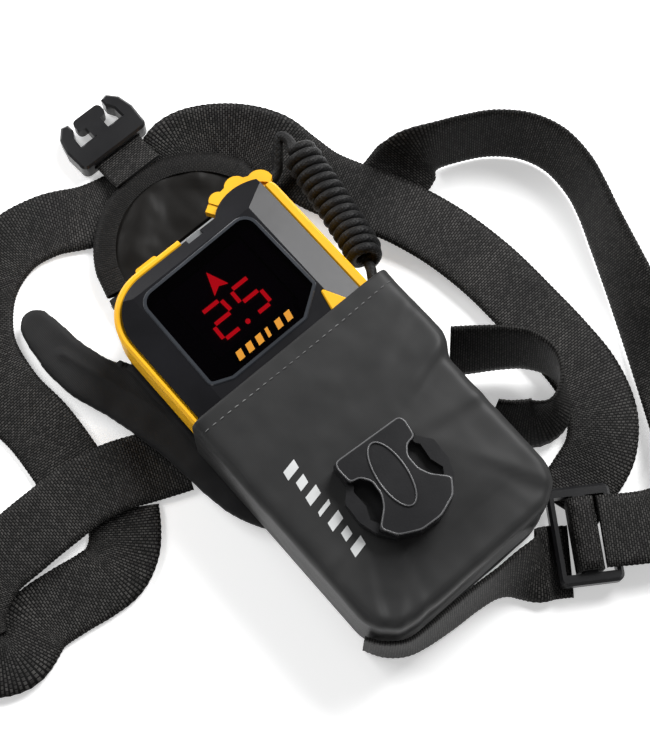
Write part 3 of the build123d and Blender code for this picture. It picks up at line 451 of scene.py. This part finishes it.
def tether():
    """One cord: a straight end, the coil's turns as points of the same spline, another end."""
    cord = nurbs("tether_cord", [*TETHER_UPPER, *coil_points(), *TETHER_LOWER], STRAND_RADIUS)
    line = line_length(cord)
    cord.data.materials.append(MATERIALS["tether_cord"])
    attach(cord, "harness")
    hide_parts("tether_upper", "tether_coil", "tether_lower")


tether()


# ---------------------------------------------------------------- webbing straps
# Each station is x, y, z of the band's middle and its lean in degrees: 0 is flat, 90 on edge.
SHOULDER_STRAP = [
    (-78.5, 22, 1.3, 0), (-77, 34, 1.3, 0), (-76, 50, 1.3, 0), (-77, 68, 1.3, 0),
    (-73, 88, 1.3, 0), (-60, 104, 1.3, 0), (-43, 111, 1.3, 0), (-27, 109, 1.3, 0),
    (-12, 101.5, 1.3, 0), (4, 98, 1.3, 0), (19, 99.0, 1.3, 0), (29, 100.6, 3.6, 12),
    (38, 96.5, 5.2, 20), (47.5, 88.4, 5.8, 22), (54.5, 79.0, 4.8, 15), (56.6, 69.0, 4.4, 8),
    (59.0, 57.0, 4.6, 2), (63.6, 45.7, 5.4, 0), (69.0, 34.5, 6.4, 0), (74.4, 23.0, 5.4, 0),
    (79.2, 7.4, 4.6, 0), (81.8, -11.0, 4.6, 0), (82.2, -30.0, 4.6, 0), (82.0, -47.0, 4.6, 0),
    (80.6, -62.0, 4.4, 0), (75.4, -75.5, 4.0, 0), (66.0, -84.6, 3.2, 0), (55.0, -88.4, 1.8, 0),
    (46.0, -90.5, 1.3, 0), (41.8, -91.6, 1.3, 0),
]
SIDE_STRAP = [
    (70.0, 37.4, 1.3, 0), (76.0, 38.6, 1.7, 4), (81.5, 39.2, 3.6, 12), (86.0, 39.0, 7.9, 34),
    (90.5, 38.4, 11.2, 56), (96.3, 36.4, 12.9, 72), (106.8, 31.8, 12.9, 75),
    (116.5, 26.0, 12.9, 75), (124.8, 17.1, 12.9, 75), (129.0, 6.2, 12.9, 75),
    (128.6, -6.0, 12.9, 75), (125.6, -16.4, 12.9, 75), (121.0, -28.0, 12.8, 72),
    (112.6, -50.0, 12.0, 62), (102.5, -75.0, 11.4, 46), (93.0, -96.0, 12.0, 24),
    (84.0, -111.0, 12.0, 8), (72.5, -118.8, 11.2, 2), (60.0, -116.6, 10.5, 0),
    (44.2, -106.0, 10.4, 0),
]
WAIST_STRAP = [
    (-44.5, 9.0, 1.1, 0), (-50.0, 11.3, 1.1, 0), (-57.8, 14.6, 2.1, -4), (-67, 18, 4.2, -1),
    (-78, 20.5, 4.8, 0), (-91, 21, 4.8, 0), (-105, 21, 4.8, 0), (-121, 20, 4.8, 0),
    (-135, 12, 4.4, 0), (-140, 0, 3.6, 0), (-131, -7.4, 2.4, 0), (-118.2, -3.6, 1.4, 0),
    (-106.3, -4.5, 1.3, 0), (-96.0, -6.2, 1.2, 0), (-88.0, -6.4, 1.1, 0),
    (-81.0, -3.0, 1.0, 0), (-76.0, 2.4, 1.0, 0), (-72.2, 8.2, 1.0, 0),
]
KEEPER_STRAP = [
    (47.2, -26.5, 16.0, 66), (53.5, -31.0, 16.0, 68), (61.0, -36.8, 16.5, 72),
    (67.5, -43.6, 17.5, 78), (70.4, -52.0, 18.6, 88), (68.0, -60.4, 18.4, 100),
    (61.4, -65.6, 16.0, 110), (53.4, -64.4, 13.2, 117), (47.2, -58.4, 12.8, 108),
    (43.6, -52.0, 12.9, 98),
]
BOTTOM_STRAP = [
    (-41.5, -82.0, 12.9, 90), (-37.8, -87.8, 12.9, 88), (-32.0, -92.2, 12.9, 86),
    (-25.0, -93.8, 12.9, 83), (-14.0, -94.6, 12.9, 80), (-3.0, -95.2, 12.8, 79),
    (6.0, -96.4, 12.7, 76), (13.0, -98.4, 12.0, 62), (19.0, -100.6, 9.6, 42),
    (24.0, -101.6, 5.0, 18), (28.5, -104.0, 1.8, 3), (32.0, -106.6, 1.3, 0),
]
for name, stations in (("shoulder", SHOULDER_STRAP), ("side", SIDE_STRAP),
                       ("waist", WAIST_STRAP), ("keeper", KEEPER_STRAP),
                       ("bottom", BOTTOM_STRAP)):
    band(f"{name}_webbing", stations, WEBBING_WIDTH, WEBBING_RIB, "harness", f"{name}_strap",
         ribs=0.12, edge=0.18)


WRAP_ORIGIN = Vector((39.8, -103.0, 6.9))
WRAP_BAR = Vector((0.56, 0.83, 0.0)).normalized()
WRAP_HALF, WRAP_CORNER, WRAP_THICKNESS, WRAP_REACH = 4.6, 2.4, 1.7, 12.6


def wrap_outline():
    """Rounded square that the wrapped webbing follows round the bar."""
    loop, middle = [], WRAP_HALF - WRAP_CORNER
    for quarter, (sx, sz) in enumerate(((1, 1), (-1, 1), (-1, -1), (1, -1))):
        for k in range(7):
            a = radians(90 * quarter + 15 * k)
            loop.append(Vector((sx * middle + WRAP_CORNER * cos(a),
                                sz * middle + WRAP_CORNER * sin(a))))
    return evenly([*loop, loop[0]], WEBBING_RIB)


def lock_wrap():
    """Webbing folded round the middle bar of the strap adjuster."""
    loop, side = wrap_outline(), Vector((0, 0, 1)).cross(WRAP_BAR)
    verts, uv, faces, across = [], [], [], 8
    for k, p in enumerate(loop):
        out = p.normalized()
        for q in (p + out * (0.12 * cos(pi * k)), p - out * WRAP_THICKNESS):
            for j in range(across + 1):
                along_bar = (j / across * 2 - 1) * WRAP_REACH
                verts.append(WRAP_ORIGIN + side * q.x + Vector((0, 0, q.y))
                             + WRAP_BAR * along_bar)
                uv.append((along_bar + 13, k * WEBBING_RIB))
    ring, count = 2 * (across + 1), len(loop)
    for k in range(count):
        a, b = k * ring, (k + 1) % count * ring
        for j in range(across):
            faces.append((a + j, a + j + 1, b + j + 1, b + j))
            c, d = a + across + 1 + j, b + across + 1 + j
            faces.append((c, d, d + 1, c + 1))
        faces.append((a, b, b + across + 1, a + across + 1))
        faces.append((a + across, a + 2 * across + 1, b + 2 * across + 1, b + across))
    obj = piece("wrap_webbing", verts, faces, "webbing", "harness", uv)
    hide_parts("lock_webbing")


lock_wrap()


# ---------------------------------------------------------------- soft shapes from the frame
def solid_copy(name, source, voxel, smooth_steps, slot, body, shape, also=()):
    """Remeshed and smoothed copy of a soft CAD solid, moved along its normals by shape."""
    obj = bpy.data.objects.new(name, NODES[source].data.copy())
    scene.collection.objects.link(obj)
    obj.data.materials.clear()
    remesh = obj.modifiers.new("remesh", "REMESH")
    remesh.mode, remesh.voxel_size = "VOXEL", voxel * MM
    soften = obj.modifiers.new("soften", "SMOOTH")
    soften.factor, soften.iterations = 0.5, smooth_steps
    mesh = bpy.data.meshes.new_from_object(
        obj.evaluated_get(bpy.context.evaluated_depsgraph_get()))
    obj.modifiers.clear()
    obj.data = mesh
    mesh.update()
    normals = [v.normal.copy() for v in mesh.vertices]
    for v, n in zip(mesh.vertices, normals):
        v.co += n * shape(v.co / MM, n) * MM
    mesh.polygons.foreach_set("use_smooth", [True] * len(mesh.polygons))
    mesh.materials.clear()
    mesh.materials.append(MATERIALS[slot])
    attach(obj, body)
    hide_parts(source, *also)
    return obj


def fold(p, origin, heading, reach, width):
    """Height of one soft crease: a ridge from origin along heading, fading at its end."""
    d = Vector((p.x - origin[0], p.y - origin[1]))
    a = radians(heading)
    s, t = d.x * cos(a) + d.y * sin(a), -d.x * sin(a) + d.y * cos(a)
    if s < -width or s > reach:
        return 0.0
    fade = min(1.0, (s + width) / (2 * width)) * (1 - max(0.0, s) / reach)
    return fade * pow(2.718, -(t / width) ** 2)


WING_UNDERSIDE, WING_INNER_EDGE = 3.0, -41.0


def wing_shape(p, n):
    """Soft wing with a seam along it; its inner edge is pushed out to meet the back panel."""
    if n.x > 0.6 and p.x > WING_INNER_EDGE:
        return 1.6
    above = min(1.0, max(0.0, (p.z - WING_UNDERSIDE) / 1.2))
    soft = 0.5 * noise.noise(p * 0.05) + 0.22 * noise.noise(p * 0.16)
    seam = fold(p, (-54.0, 66.0), -72.0, 90.0, 1.6)
    return above * (soft + 0.9 * seam + 0.5)


def panel_shape(p, n):
    """Slightly uneven sides; the top and the underside stay flat."""
    return 0.25 * noise.noise(p * 0.09) - 0.25 if 0.6 < p.z < 5.7 else 0.0


wing = solid_copy("wing_cushion", "wing_pad", 0.9, 6, "panel_fabric", "harness", wing_shape)
panel = solid_copy("panel_cushion", "back_panel", 1.2, 5, "panel_fabric", "harness", panel_shape)


# ---------------------------------------------------------------- pouch
LEFT, RIGHT, LOW, MOUTH, BOTTOM, TOP = -40.4, 45.6, 40.6, 6.2, -90.4, 38.6
CORNER, FILLET, HEM_Z, FABRIC = 14.0, 4.6, 6.3, 1.1
STEP_START, STEP_END = -22, -34     # where the right side moves in from RIGHT to LOW
TAPER_START, TAPER_RUN, TAPER_DROP = -68.0, 22.0, 2.6


def pouch_sides(y):
    """Left and right edge of the pouch at y."""
    if y > STEP_START:
        right = RIGHT
    elif y > STEP_END:
        t = (STEP_START - y) / (STEP_START - STEP_END)
        right = RIGHT - (RIGHT - LOW) * t * t * (3 - 2 * t)
    else:
        right = LOW
    left = LEFT
    if y < BOTTOM + CORNER:
        pull = CORNER - sqrt(max(0.0, CORNER**2 - (BOTTOM + CORNER - y)**2))
        left, right = left + pull, right - pull
    return left, right


def edge_gap(x, y):
    """Distance from a point in the pouch's plan to its left, right or bottom edge."""
    if y > BOTTOM + CORNER:
        left, right = pouch_sides(y)
        return min(x - left, right - x, y - BOTTOM)
    gaps = [y - BOTTOM, x - LEFT, LOW - x]
    for cx, outer in ((LEFT + CORNER, x < LEFT + CORNER), (LOW - CORNER, x > LOW - CORNER)):
        if outer:
            gaps.append(CORNER - hypot(x - cx, y - BOTTOM - CORNER))
    return max(0.0, min(gaps))


# Each crease is its origin in x, y, its heading in degrees, then reach, width and height.
CREASES = [
    ((-36, -84), 62, 34, 2.0, 0.8), ((-31, -88), 48, 40, 2.4, 0.7), ((-22, -89), 74, 26, 2.2, 0.6),
    ((36, -86), 118, 44, 2.6, 0.7), ((42, -26), 196, 46, 2.4, 0.7), ((43, -8), 206, 40, 2.6, 0.5),
    ((40, -48), 170, 36, 2.6, 0.5), ((26, -88), 100, 28, 2.4, 0.5), ((-39, -60), 12, 22, 2.0, 0.4),
]


def pouch_relief(p):
    """How far the fabric stands off its smooth shape."""
    height = 0.34 * noise.noise(p * 0.055) + 0.16 * noise.noise(p * 0.17)
    for origin, heading, reach, width, rise in CREASES:
        height += rise * fold(p, origin, heading, reach, width)
        height -= 0.7 * rise * fold(p + Vector((0, width * 1.7, 0)), origin, heading, reach, width)
    return height


def pouch_height(x, y):
    """Height of the smooth cloth above x, y: rounded at the edges, falling to the bottom."""
    gap = min(FILLET, edge_gap(x, y))
    z = TOP - FILLET + sqrt(max(0.0, FILLET**2 - (FILLET - gap)**2))
    low = max(0.0, min(1.0, (TAPER_START - y) / TAPER_RUN))
    middle = min(1.0, edge_gap(x, y) / CORNER)
    z -= TAPER_DROP * low * low * (3 - 2 * low) * middle
    return z - 0.4 * (1 - middle)


def pouch_top():
    """Grid of the pouch's top, closer together at its sides, and the rim that its wall hangs from."""
    rows = [MOUTH - k * 1.5 for k in range(int((MOUTH - BOTTOM - CORNER) / 1.5) + 1)]
    rows += [BOTTOM + CORNER - CORNER * sin(radians(a)) for a in range(6, 91, 6)]
    margin, inner = 0.055, 48
    columns = [(1 - cos(radians(a))) * margin for a in range(0, 90, 18)]
    shares = columns + [margin + (1 - 2 * margin) * k / inner for k in range(inner + 1)]
    shares += [1 - c for c in reversed(columns)]
    verts, faces, wide = [], [], len(shares)
    for y in rows:
        left, right = pouch_sides(y)
        for s in shares:
            x = left + (right - left) * s
            verts.append([x, y, pouch_height(x, y)])
    for j in range(len(rows) - 1):
        for i in range(wide - 1):
            a = j * wide + i
            faces.append((a, a + wide, a + wide + 1, a + 1))
    rim = [j * wide for j in range(len(rows))]
    rim += [(len(rows) - 1) * wide + i for i in range(1, wide)]
    rim += [j * wide + wide - 1 for j in range(len(rows) - 2, -1, -1)]
    return verts, faces, rim


def hang_wall(verts, faces, rim):
    """Add the wall on three sides, from the rim down to HEM_Z."""
    above, levels = rim, 14
    for k in range(1, levels + 1):
        level = []
        for index in rim:
            x, y, z = verts[index]
            level.append(len(verts))
            verts.append([x, y, z + (HEM_Z - z) * (k / levels)])
        for i in range(len(rim) - 1):
            faces.append((above[i], level[i], level[i + 1], above[i + 1]))
        above = level


def face_outward(mesh):
    """Turn every face so that the pouch's top looks up."""
    grown = bmesh.new()
    grown.from_mesh(mesh)
    bmesh.ops.recalc_face_normals(grown, faces=grown.faces)
    if sum(f.normal.z for f in grown.faces) < 0:
        bmesh.ops.reverse_faces(grown, faces=grown.faces)
    grown.to_mesh(mesh)
    grown.free()
    mesh.update()


def pouch():
    """The pouch's cloth, with its creases, as one sheet of fabric."""
    verts, faces, rim = pouch_top()
    hang_wall(verts, faces, rim)
    obj = piece("pouch_cloth", verts, faces, "pouch_fabric", "harness")
    mesh = obj.data
    face_outward(mesh)
    for v, n in [(v, v.normal.copy()) for v in mesh.vertices]:
        p = v.co / MM
        above_hem = min(1.0, max(0.0, (p.z - 6.5) / 6.0))
        v.co += n * (pouch_relief(p) - 0.35) * above_hem * MM
    mesh.update()
    thick = obj.modifiers.new("thickness", "SOLIDIFY")
    thick.thickness, thick.offset = FABRIC * MM, -1.0
    smooth = obj.modifiers.new("smooth", "SUBSURF")
    smooth.levels = smooth.render_levels = 1
    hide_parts("pouch_shell")
    return obj


pouch_cloth = pouch()
bpy.context.view_layer.update()
SURFACE = pouch_cloth.evaluated_get(bpy.context.evaluated_depsgraph_get())


def on_pouch(x, y):
    """Point and normal of the pouch's outside above x, y, in millimetres."""
    hit, place, normal, _ = SURFACE.ray_cast(Vector((x, y, 80.0)) * MM, Vector((0, 0, -1)))
    if not hit:
        return Vector((x, y, TOP)), Vector((0, 0, 1))
    return place / MM, normal


def stitches(name, path, pitch, length, radius, body):
    """Short threads that follow the pouch's surface along a path of x, y points."""
    verts, faces, rings, sides, lift = [], [], 5, 6, 0.15
    for (x0, y0), (x1, y1) in zip(path, path[1:]):
        run = hypot(x1 - x0, y1 - y0)
        count = max(1, int(run / pitch))
        for k in range(count):
            t = (k + 0.5) / count
            x, y = x0 + (x1 - x0) * t, y0 + (y1 - y0) * t
            place, up = on_pouch(x, y)
            forward = Vector(((x1 - x0) / run, (y1 - y0) / run, 0))
            forward = (forward - up * forward.dot(up)).normalized()
            side = up.cross(forward)
            base = len(verts)
            for a in range(rings):
                s = a / 2 - 1
                fat = radius * sqrt(max(0.12, 1 - s * s))
                mid = place + forward * s * length / 2 + up * (lift - 0.12 * s * s)
                for b in range(sides):
                    turn = 2 * pi * b / sides
                    verts.append(mid + side * fat * cos(turn) + up * fat * sin(turn))
            for a in range(rings - 1):
                for b in range(sides):
                    c = (b + 1) % sides
                    here, there = base + a * sides, base + (a + 1) * sides
                    faces.append((here + b, here + c, there + c, there + b))
            faces.append(tuple(base + b for b in range(sides))[::-1])
            faces.append(tuple(base + (rings - 1) * sides + b for b in range(sides)))
    piece(name, verts, faces, "pouch_fabric", body, paint="thread_grey")


stitches("hem_stitches", [(-38.6, 1.2), (-20, 0.8), (0, 0.6), (20, 0.6), (43.6, 1.0)],
         pitch=2.7, length=1.7, radius=0.22, body="harness")


def patch(name, corners, slot, body, paint, lift, surface):
    """Thin printed quad with the given x, y corners, laid on a surface."""
    verts, faces, cells = [], [], 6
    a, b, c, d = [Vector(p) for p in corners]
    for i in range(cells + 1):
        for j in range(cells + 1):
            s, t = i / cells, j / cells
            q = (a * (1 - s) + b * s) * (1 - t) + (d * (1 - s) + c * s) * t
            place, up = surface(q.x, q.y)
            verts.append(place + up * lift)
    for i in range(cells):
        for j in range(cells):
            k = i * (cells + 1) + j
            faces.append((k, k + cells + 1, k + cells + 2, k + 1))
    piece(name, verts, faces, slot, body, paint=paint)


MARKS = [(3.2, 1.0), (3.2, 0.7), (3.2, 1.0), (1.6, 1.0), (3.2, 1.0), (3.2, 0.6), (3.2, 1.0)]
MARK_X, MARK_Y, MARK_PITCH = -25.2, -27.1, 5.5


def pouch_marks():
    """Generic printed bars, each with its own length and a scale for its width."""
    for k, (long, deep) in enumerate(MARKS):
        middle = Vector((MARK_X - 0.04 * k, MARK_Y - MARK_PITCH * k))
        half = Vector((2.7 * deep, 0.55 * deep))
        step = Vector((-0.3, -long / 2))
        corners = [middle - half - step, middle + half - step, middle + half + step,
                   middle - half + step]
        patch(f"pouch_mark_{k}", corners, "pouch_fabric", "harness", "print_grey", 0.12, on_pouch)


pouch_marks()


# ---------------------------------------------------------------- painted highlights on the socket's edges
def rounded_loop(points, cut):
    """Closed loop with each corner swapped for a short curve."""
    out = []
    for i, here in enumerate(points):
        before, after = Vector(points[i - 1]), Vector(points[(i + 1) % len(points)])
        here = Vector(here)
        a = here + (before - here).normalized() * min(cut, (before - here).length / 2)
        b = here + (after - here).normalized() * min(cut, (after - here).length / 2)
        for k in range(5):
            t = k / 4
            out.append(a * (1 - t)**2 + here * 2 * t * (1 - t) + b * t * t)
    return out


def highlight_line(name, points, height, radius):
    """Thin light grey tube along a loop in the socket's own plane, painted as a highlight on the
    socket's edge.
    """
    ring = [SOCKET_ORIGIN + SOCKET_X * p.x + SOCKET_Y * p.y + Vector((0, 0, height))
            for p in points]
    verts, faces, sides = [], [], 8
    for k, place in enumerate(ring):
        run = (ring[(k + 1) % len(ring)] - ring[k - 1]).normalized()
        side = run.cross(Vector((0, 0, 1))).normalized()
        for b in range(sides):
            turn = 2 * pi * b / sides
            verts.append(place + side * radius * cos(turn) + Vector((0, 0, radius * sin(turn))))
    for k in range(len(ring)):
        n = (k + 1) % len(ring)
        for b in range(sides):
            c = (b + 1) % sides
            faces.append((k * sides + b, n * sides + b, n * sides + c, k * sides + c))
    piece(name, verts, faces, "buckle_black", "harness", paint="painted_highlight_grey")


def mirrored(points):
    """Points of the right half, then of the left one in the opposite order."""
    return [*points, *[(-x, y) for x, y in reversed(points)]]


SOCKET_ORIGIN = Vector((-1.5, -37.0, 38.6))
SOCKET_X, SOCKET_Y = Vector((0.997, -0.0755, 0)), Vector((0.0755, 0.997, 0))
SOCKET_TOP = [(12.4, -0.3), (13.4, -2.0), (12.7, -8.2), (9.4, -8.6), (6.9, -12.0),
              (7.1, -17.4), (9.1, -21.2), (14.0, -25.9), (10.8, -30.7), (3.9, -33.7)]
OVAL_MIDDLE, OVAL_HALF, OVAL_SLANT = (-0.6, -14.0), (4.9, 11.9), (0.84, -0.34)


def oval_point(turn):
    x, y = OVAL_MIDDLE
    return Vector((x + OVAL_HALF[0] * cos(turn) + OVAL_SLANT[0] * sin(turn),
                   y + OVAL_HALF[1] * sin(turn) + OVAL_SLANT[1] * cos(turn)))


OVAL = [oval_point(t / 20 * pi) for t in range(40)]
# painted highlights: light grey tubes along the socket's top rim and round its oval
highlight_line("socket_top_highlight", rounded_loop(mirrored(SOCKET_TOP), 1.4), height=8.05, radius=0.3)
highlight_line("socket_oval_highlight", OVAL, height=8.55, radius=0.28)


# ---------------------------------------------------------------- window marks
WINDOW_Z = 36.31


def on_window(x, y):
    return Vector((x, y, WINDOW_Z)), Vector((0, 0, 1))


def window_marks():
    """Row of generic leaning bars, the fourth of them narrow."""
    lean = 0.8
    for k in range(6):
        x = -13.4 + 4.2 * k
        w = 1.3 if k == 3 else 2.4
        corners = [(x, 12.7), (x + w, 12.75), (x + w + lean, 16.1), (x + lean, 16.05)]
        patch(f"window_mark_{k}", corners, "window_glass", "transceiver", "print_orange", 0.04,
              on_window)


window_marks()


# ---------------------------------------------------------------- flap
FLAP_LEFT, FLAP_RIGHT, FLAP_FAR = -28.6, 43.6, 102.6
FLAP_HINGE, FLAP_SHOULDER, FLAP_UNDERSIDE = 70.4, 75.2, 4.0
TAPE_RIB = 0.7


def flap_rim():
    """The flap's outline from the hinge's right end round an arc to its left end."""
    arc_parts = 72
    a, b = Vector((FLAP_RIGHT - 0.6, 80.0)), Vector((8.0, FLAP_FAR))
    c = Vector((FLAP_LEFT + 2.6, 80.0))
    d = 2 * (a.x * (b.y - c.y) + b.x * (c.y - a.y) + c.x * (a.y - b.y))
    ux = (a.dot(a) * (b.y - c.y) + b.dot(b) * (c.y - a.y) + c.dot(c) * (a.y - b.y)) / d
    uy = (a.dot(a) * (c.x - b.x) + b.dot(b) * (a.x - c.x) + c.dot(c) * (b.x - a.x)) / d
    centre = Vector((ux, uy))
    radius = (a - centre).length
    first, last = atan2(a.y - uy, a.x - ux), atan2(c.y - uy, c.x - ux)
    points = [Vector((FLAP_RIGHT, FLAP_HINGE)), Vector((FLAP_RIGHT - 0.3, FLAP_SHOULDER))]
    for k in range(arc_parts + 1):
        t = first + (last - first) * k / arc_parts
        points.append(centre + Vector((cos(t), sin(t))) * radius)
    return [*points, Vector((FLAP_LEFT + 1.3, FLAP_SHOULDER)), Vector((FLAP_LEFT, FLAP_HINGE))]


def flap_binding():
    """Ribbed tape folded over the flap's edge."""
    rows = evenly(flap_rim(), TAPE_RIB)
    verts, uv, faces = [], [], []
    section = [(8.4, 3.1), (6.6, 3.3), (4.6, 3.3), (2.4, 3.15), (0.9, 2.7), (0.1, 1.7),
               (0.1, 0.9), (0.9, 0.1), (3.0, -0.1), (8.0, -0.1)]
    lengths = [0.0]
    for (a, b), (c, d) in zip(section, section[1:]):
        lengths.append(lengths[-1] + hypot(c - a, d - b))
    for k, p in enumerate(rows):
        before, after = rows[max(0, k - 1)], rows[min(len(rows) - 1, k + 1)]
        run = (after - before).normalized()
        inward = Vector((-run.y, run.x))
        rib = 0.1 * cos(pi * k)
        for (depth, z), s in zip(section, lengths):
            q = p + inward * (depth + (rib if 0 < z < 3 else 0))
            verts.append((q.x, q.y, FLAP_UNDERSIDE + z + (rib if z >= 3 else 0)))
            uv.append((s, k * TAPE_RIB))
    wide = len(section)
    for k in range(len(rows) - 1):
        for i in range(wide - 1):
            a = k * wide + i
            faces.append((a, a + 1, a + wide + 1, a + wide))
    obj = piece("flap_tape", verts, faces, "binding_fabric", "flap", uv)
    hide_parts("flap_binding")


flap_binding()


def flap_shape(p, n):
    """Dented, shiny side of the flap; its underside and edges stay as they are."""
    if n.z < 0.2:
        return 0.0
    dent = fold(p, (-12.0, 78.0), 35.0, 44.0, 5.0) + fold(p, (30.0, 84.0), 150.0, 30.0, 4.0)
    return 0.9 * dent + 0.6 * noise.noise(p * 0.08) + 0.2 * noise.noise(p * 0.2) - 0.5


lining = solid_copy("flap_cushion", "flap_pad", 0.7, 4, "lining_fabric", "flap", flap_shape,
                    ("flap_lining",))


# ---------------------------------------------------------------- buckle tab
TAB = [(10.8, 101.2, 7.1, 0), (10.8, 103.2, 6.4, 0), (10.8, 107.4, 5.1, 0), (10.8, 110.6, 4.5, 0),
       (10.8, 113.9, 4.2, 0)]
band("tab_webbing", TAB, TAB_WIDTH, TAB_RIB, "buckle_strap", "buckle_tab", ribs=0.05, edge=0.06)


# ---------------------------------------------------------------- floor and light
FLOOR_HALF, FLOOR_Z = 3.0, -0.0002      # metres


def floor():
    mesh = bpy.data.meshes.new("floor")
    h = FLOOR_HALF
    mesh.from_pydata([(-h, -h, FLOOR_Z), (h, -h, FLOOR_Z), (h, h, FLOOR_Z), (-h, h, FLOOR_Z)], [],
                     [(0, 1, 2, 3)])
    obj = bpy.data.objects.new("floor", mesh)
    scene.collection.objects.link(obj)
    ground = Shader("floor")
    ground.set(Base_Color=(0.93, 0.93, 0.93, 1), Roughness=0.75, Specular_IOR_Level=0.1,
               Emission_Color=(1, 1, 1, 1), Emission_Strength=0.40)
    mesh.materials.append(ground.material)


def area(name, place, size, power):
    """Rectangular lamp that aims at the origin; sizes are in metres, power in watts."""
    data = bpy.data.lights.new(name, "AREA")
    data.shape, data.size, data.size_y, data.energy = "RECTANGLE", *size, power
    lamp = bpy.data.objects.new(name, data)
    lamp.location = place
    lamp.rotation_euler = (Vector((0, 0, 0)) - Vector(place)).to_track_quat("-Z", "Y").to_euler()
    scene.collection.objects.link(lamp)


def world():
    sky = bpy.data.worlds.new("world")
    sky.use_nodes = True
    background = sky.node_tree.nodes["Background"]
    background.inputs["Color"].default_value = (1, 1, 1, 1)
    background.inputs["Strength"].default_value = 0.15
    scene.world = sky


floor()
area("key", (1.00, 0.25, 0.95), (0.7, 0.7), 27.0)
area("back", (-0.35, 1.25, 0.8), (1.0, 0.6), 16.0)
area("fill", (-1.05, -0.7, 0.8), (0.8, 0.8), 3.0)
world()
scene.view_settings.view_transform = "Standard"

bpy.context.view_layer.update()
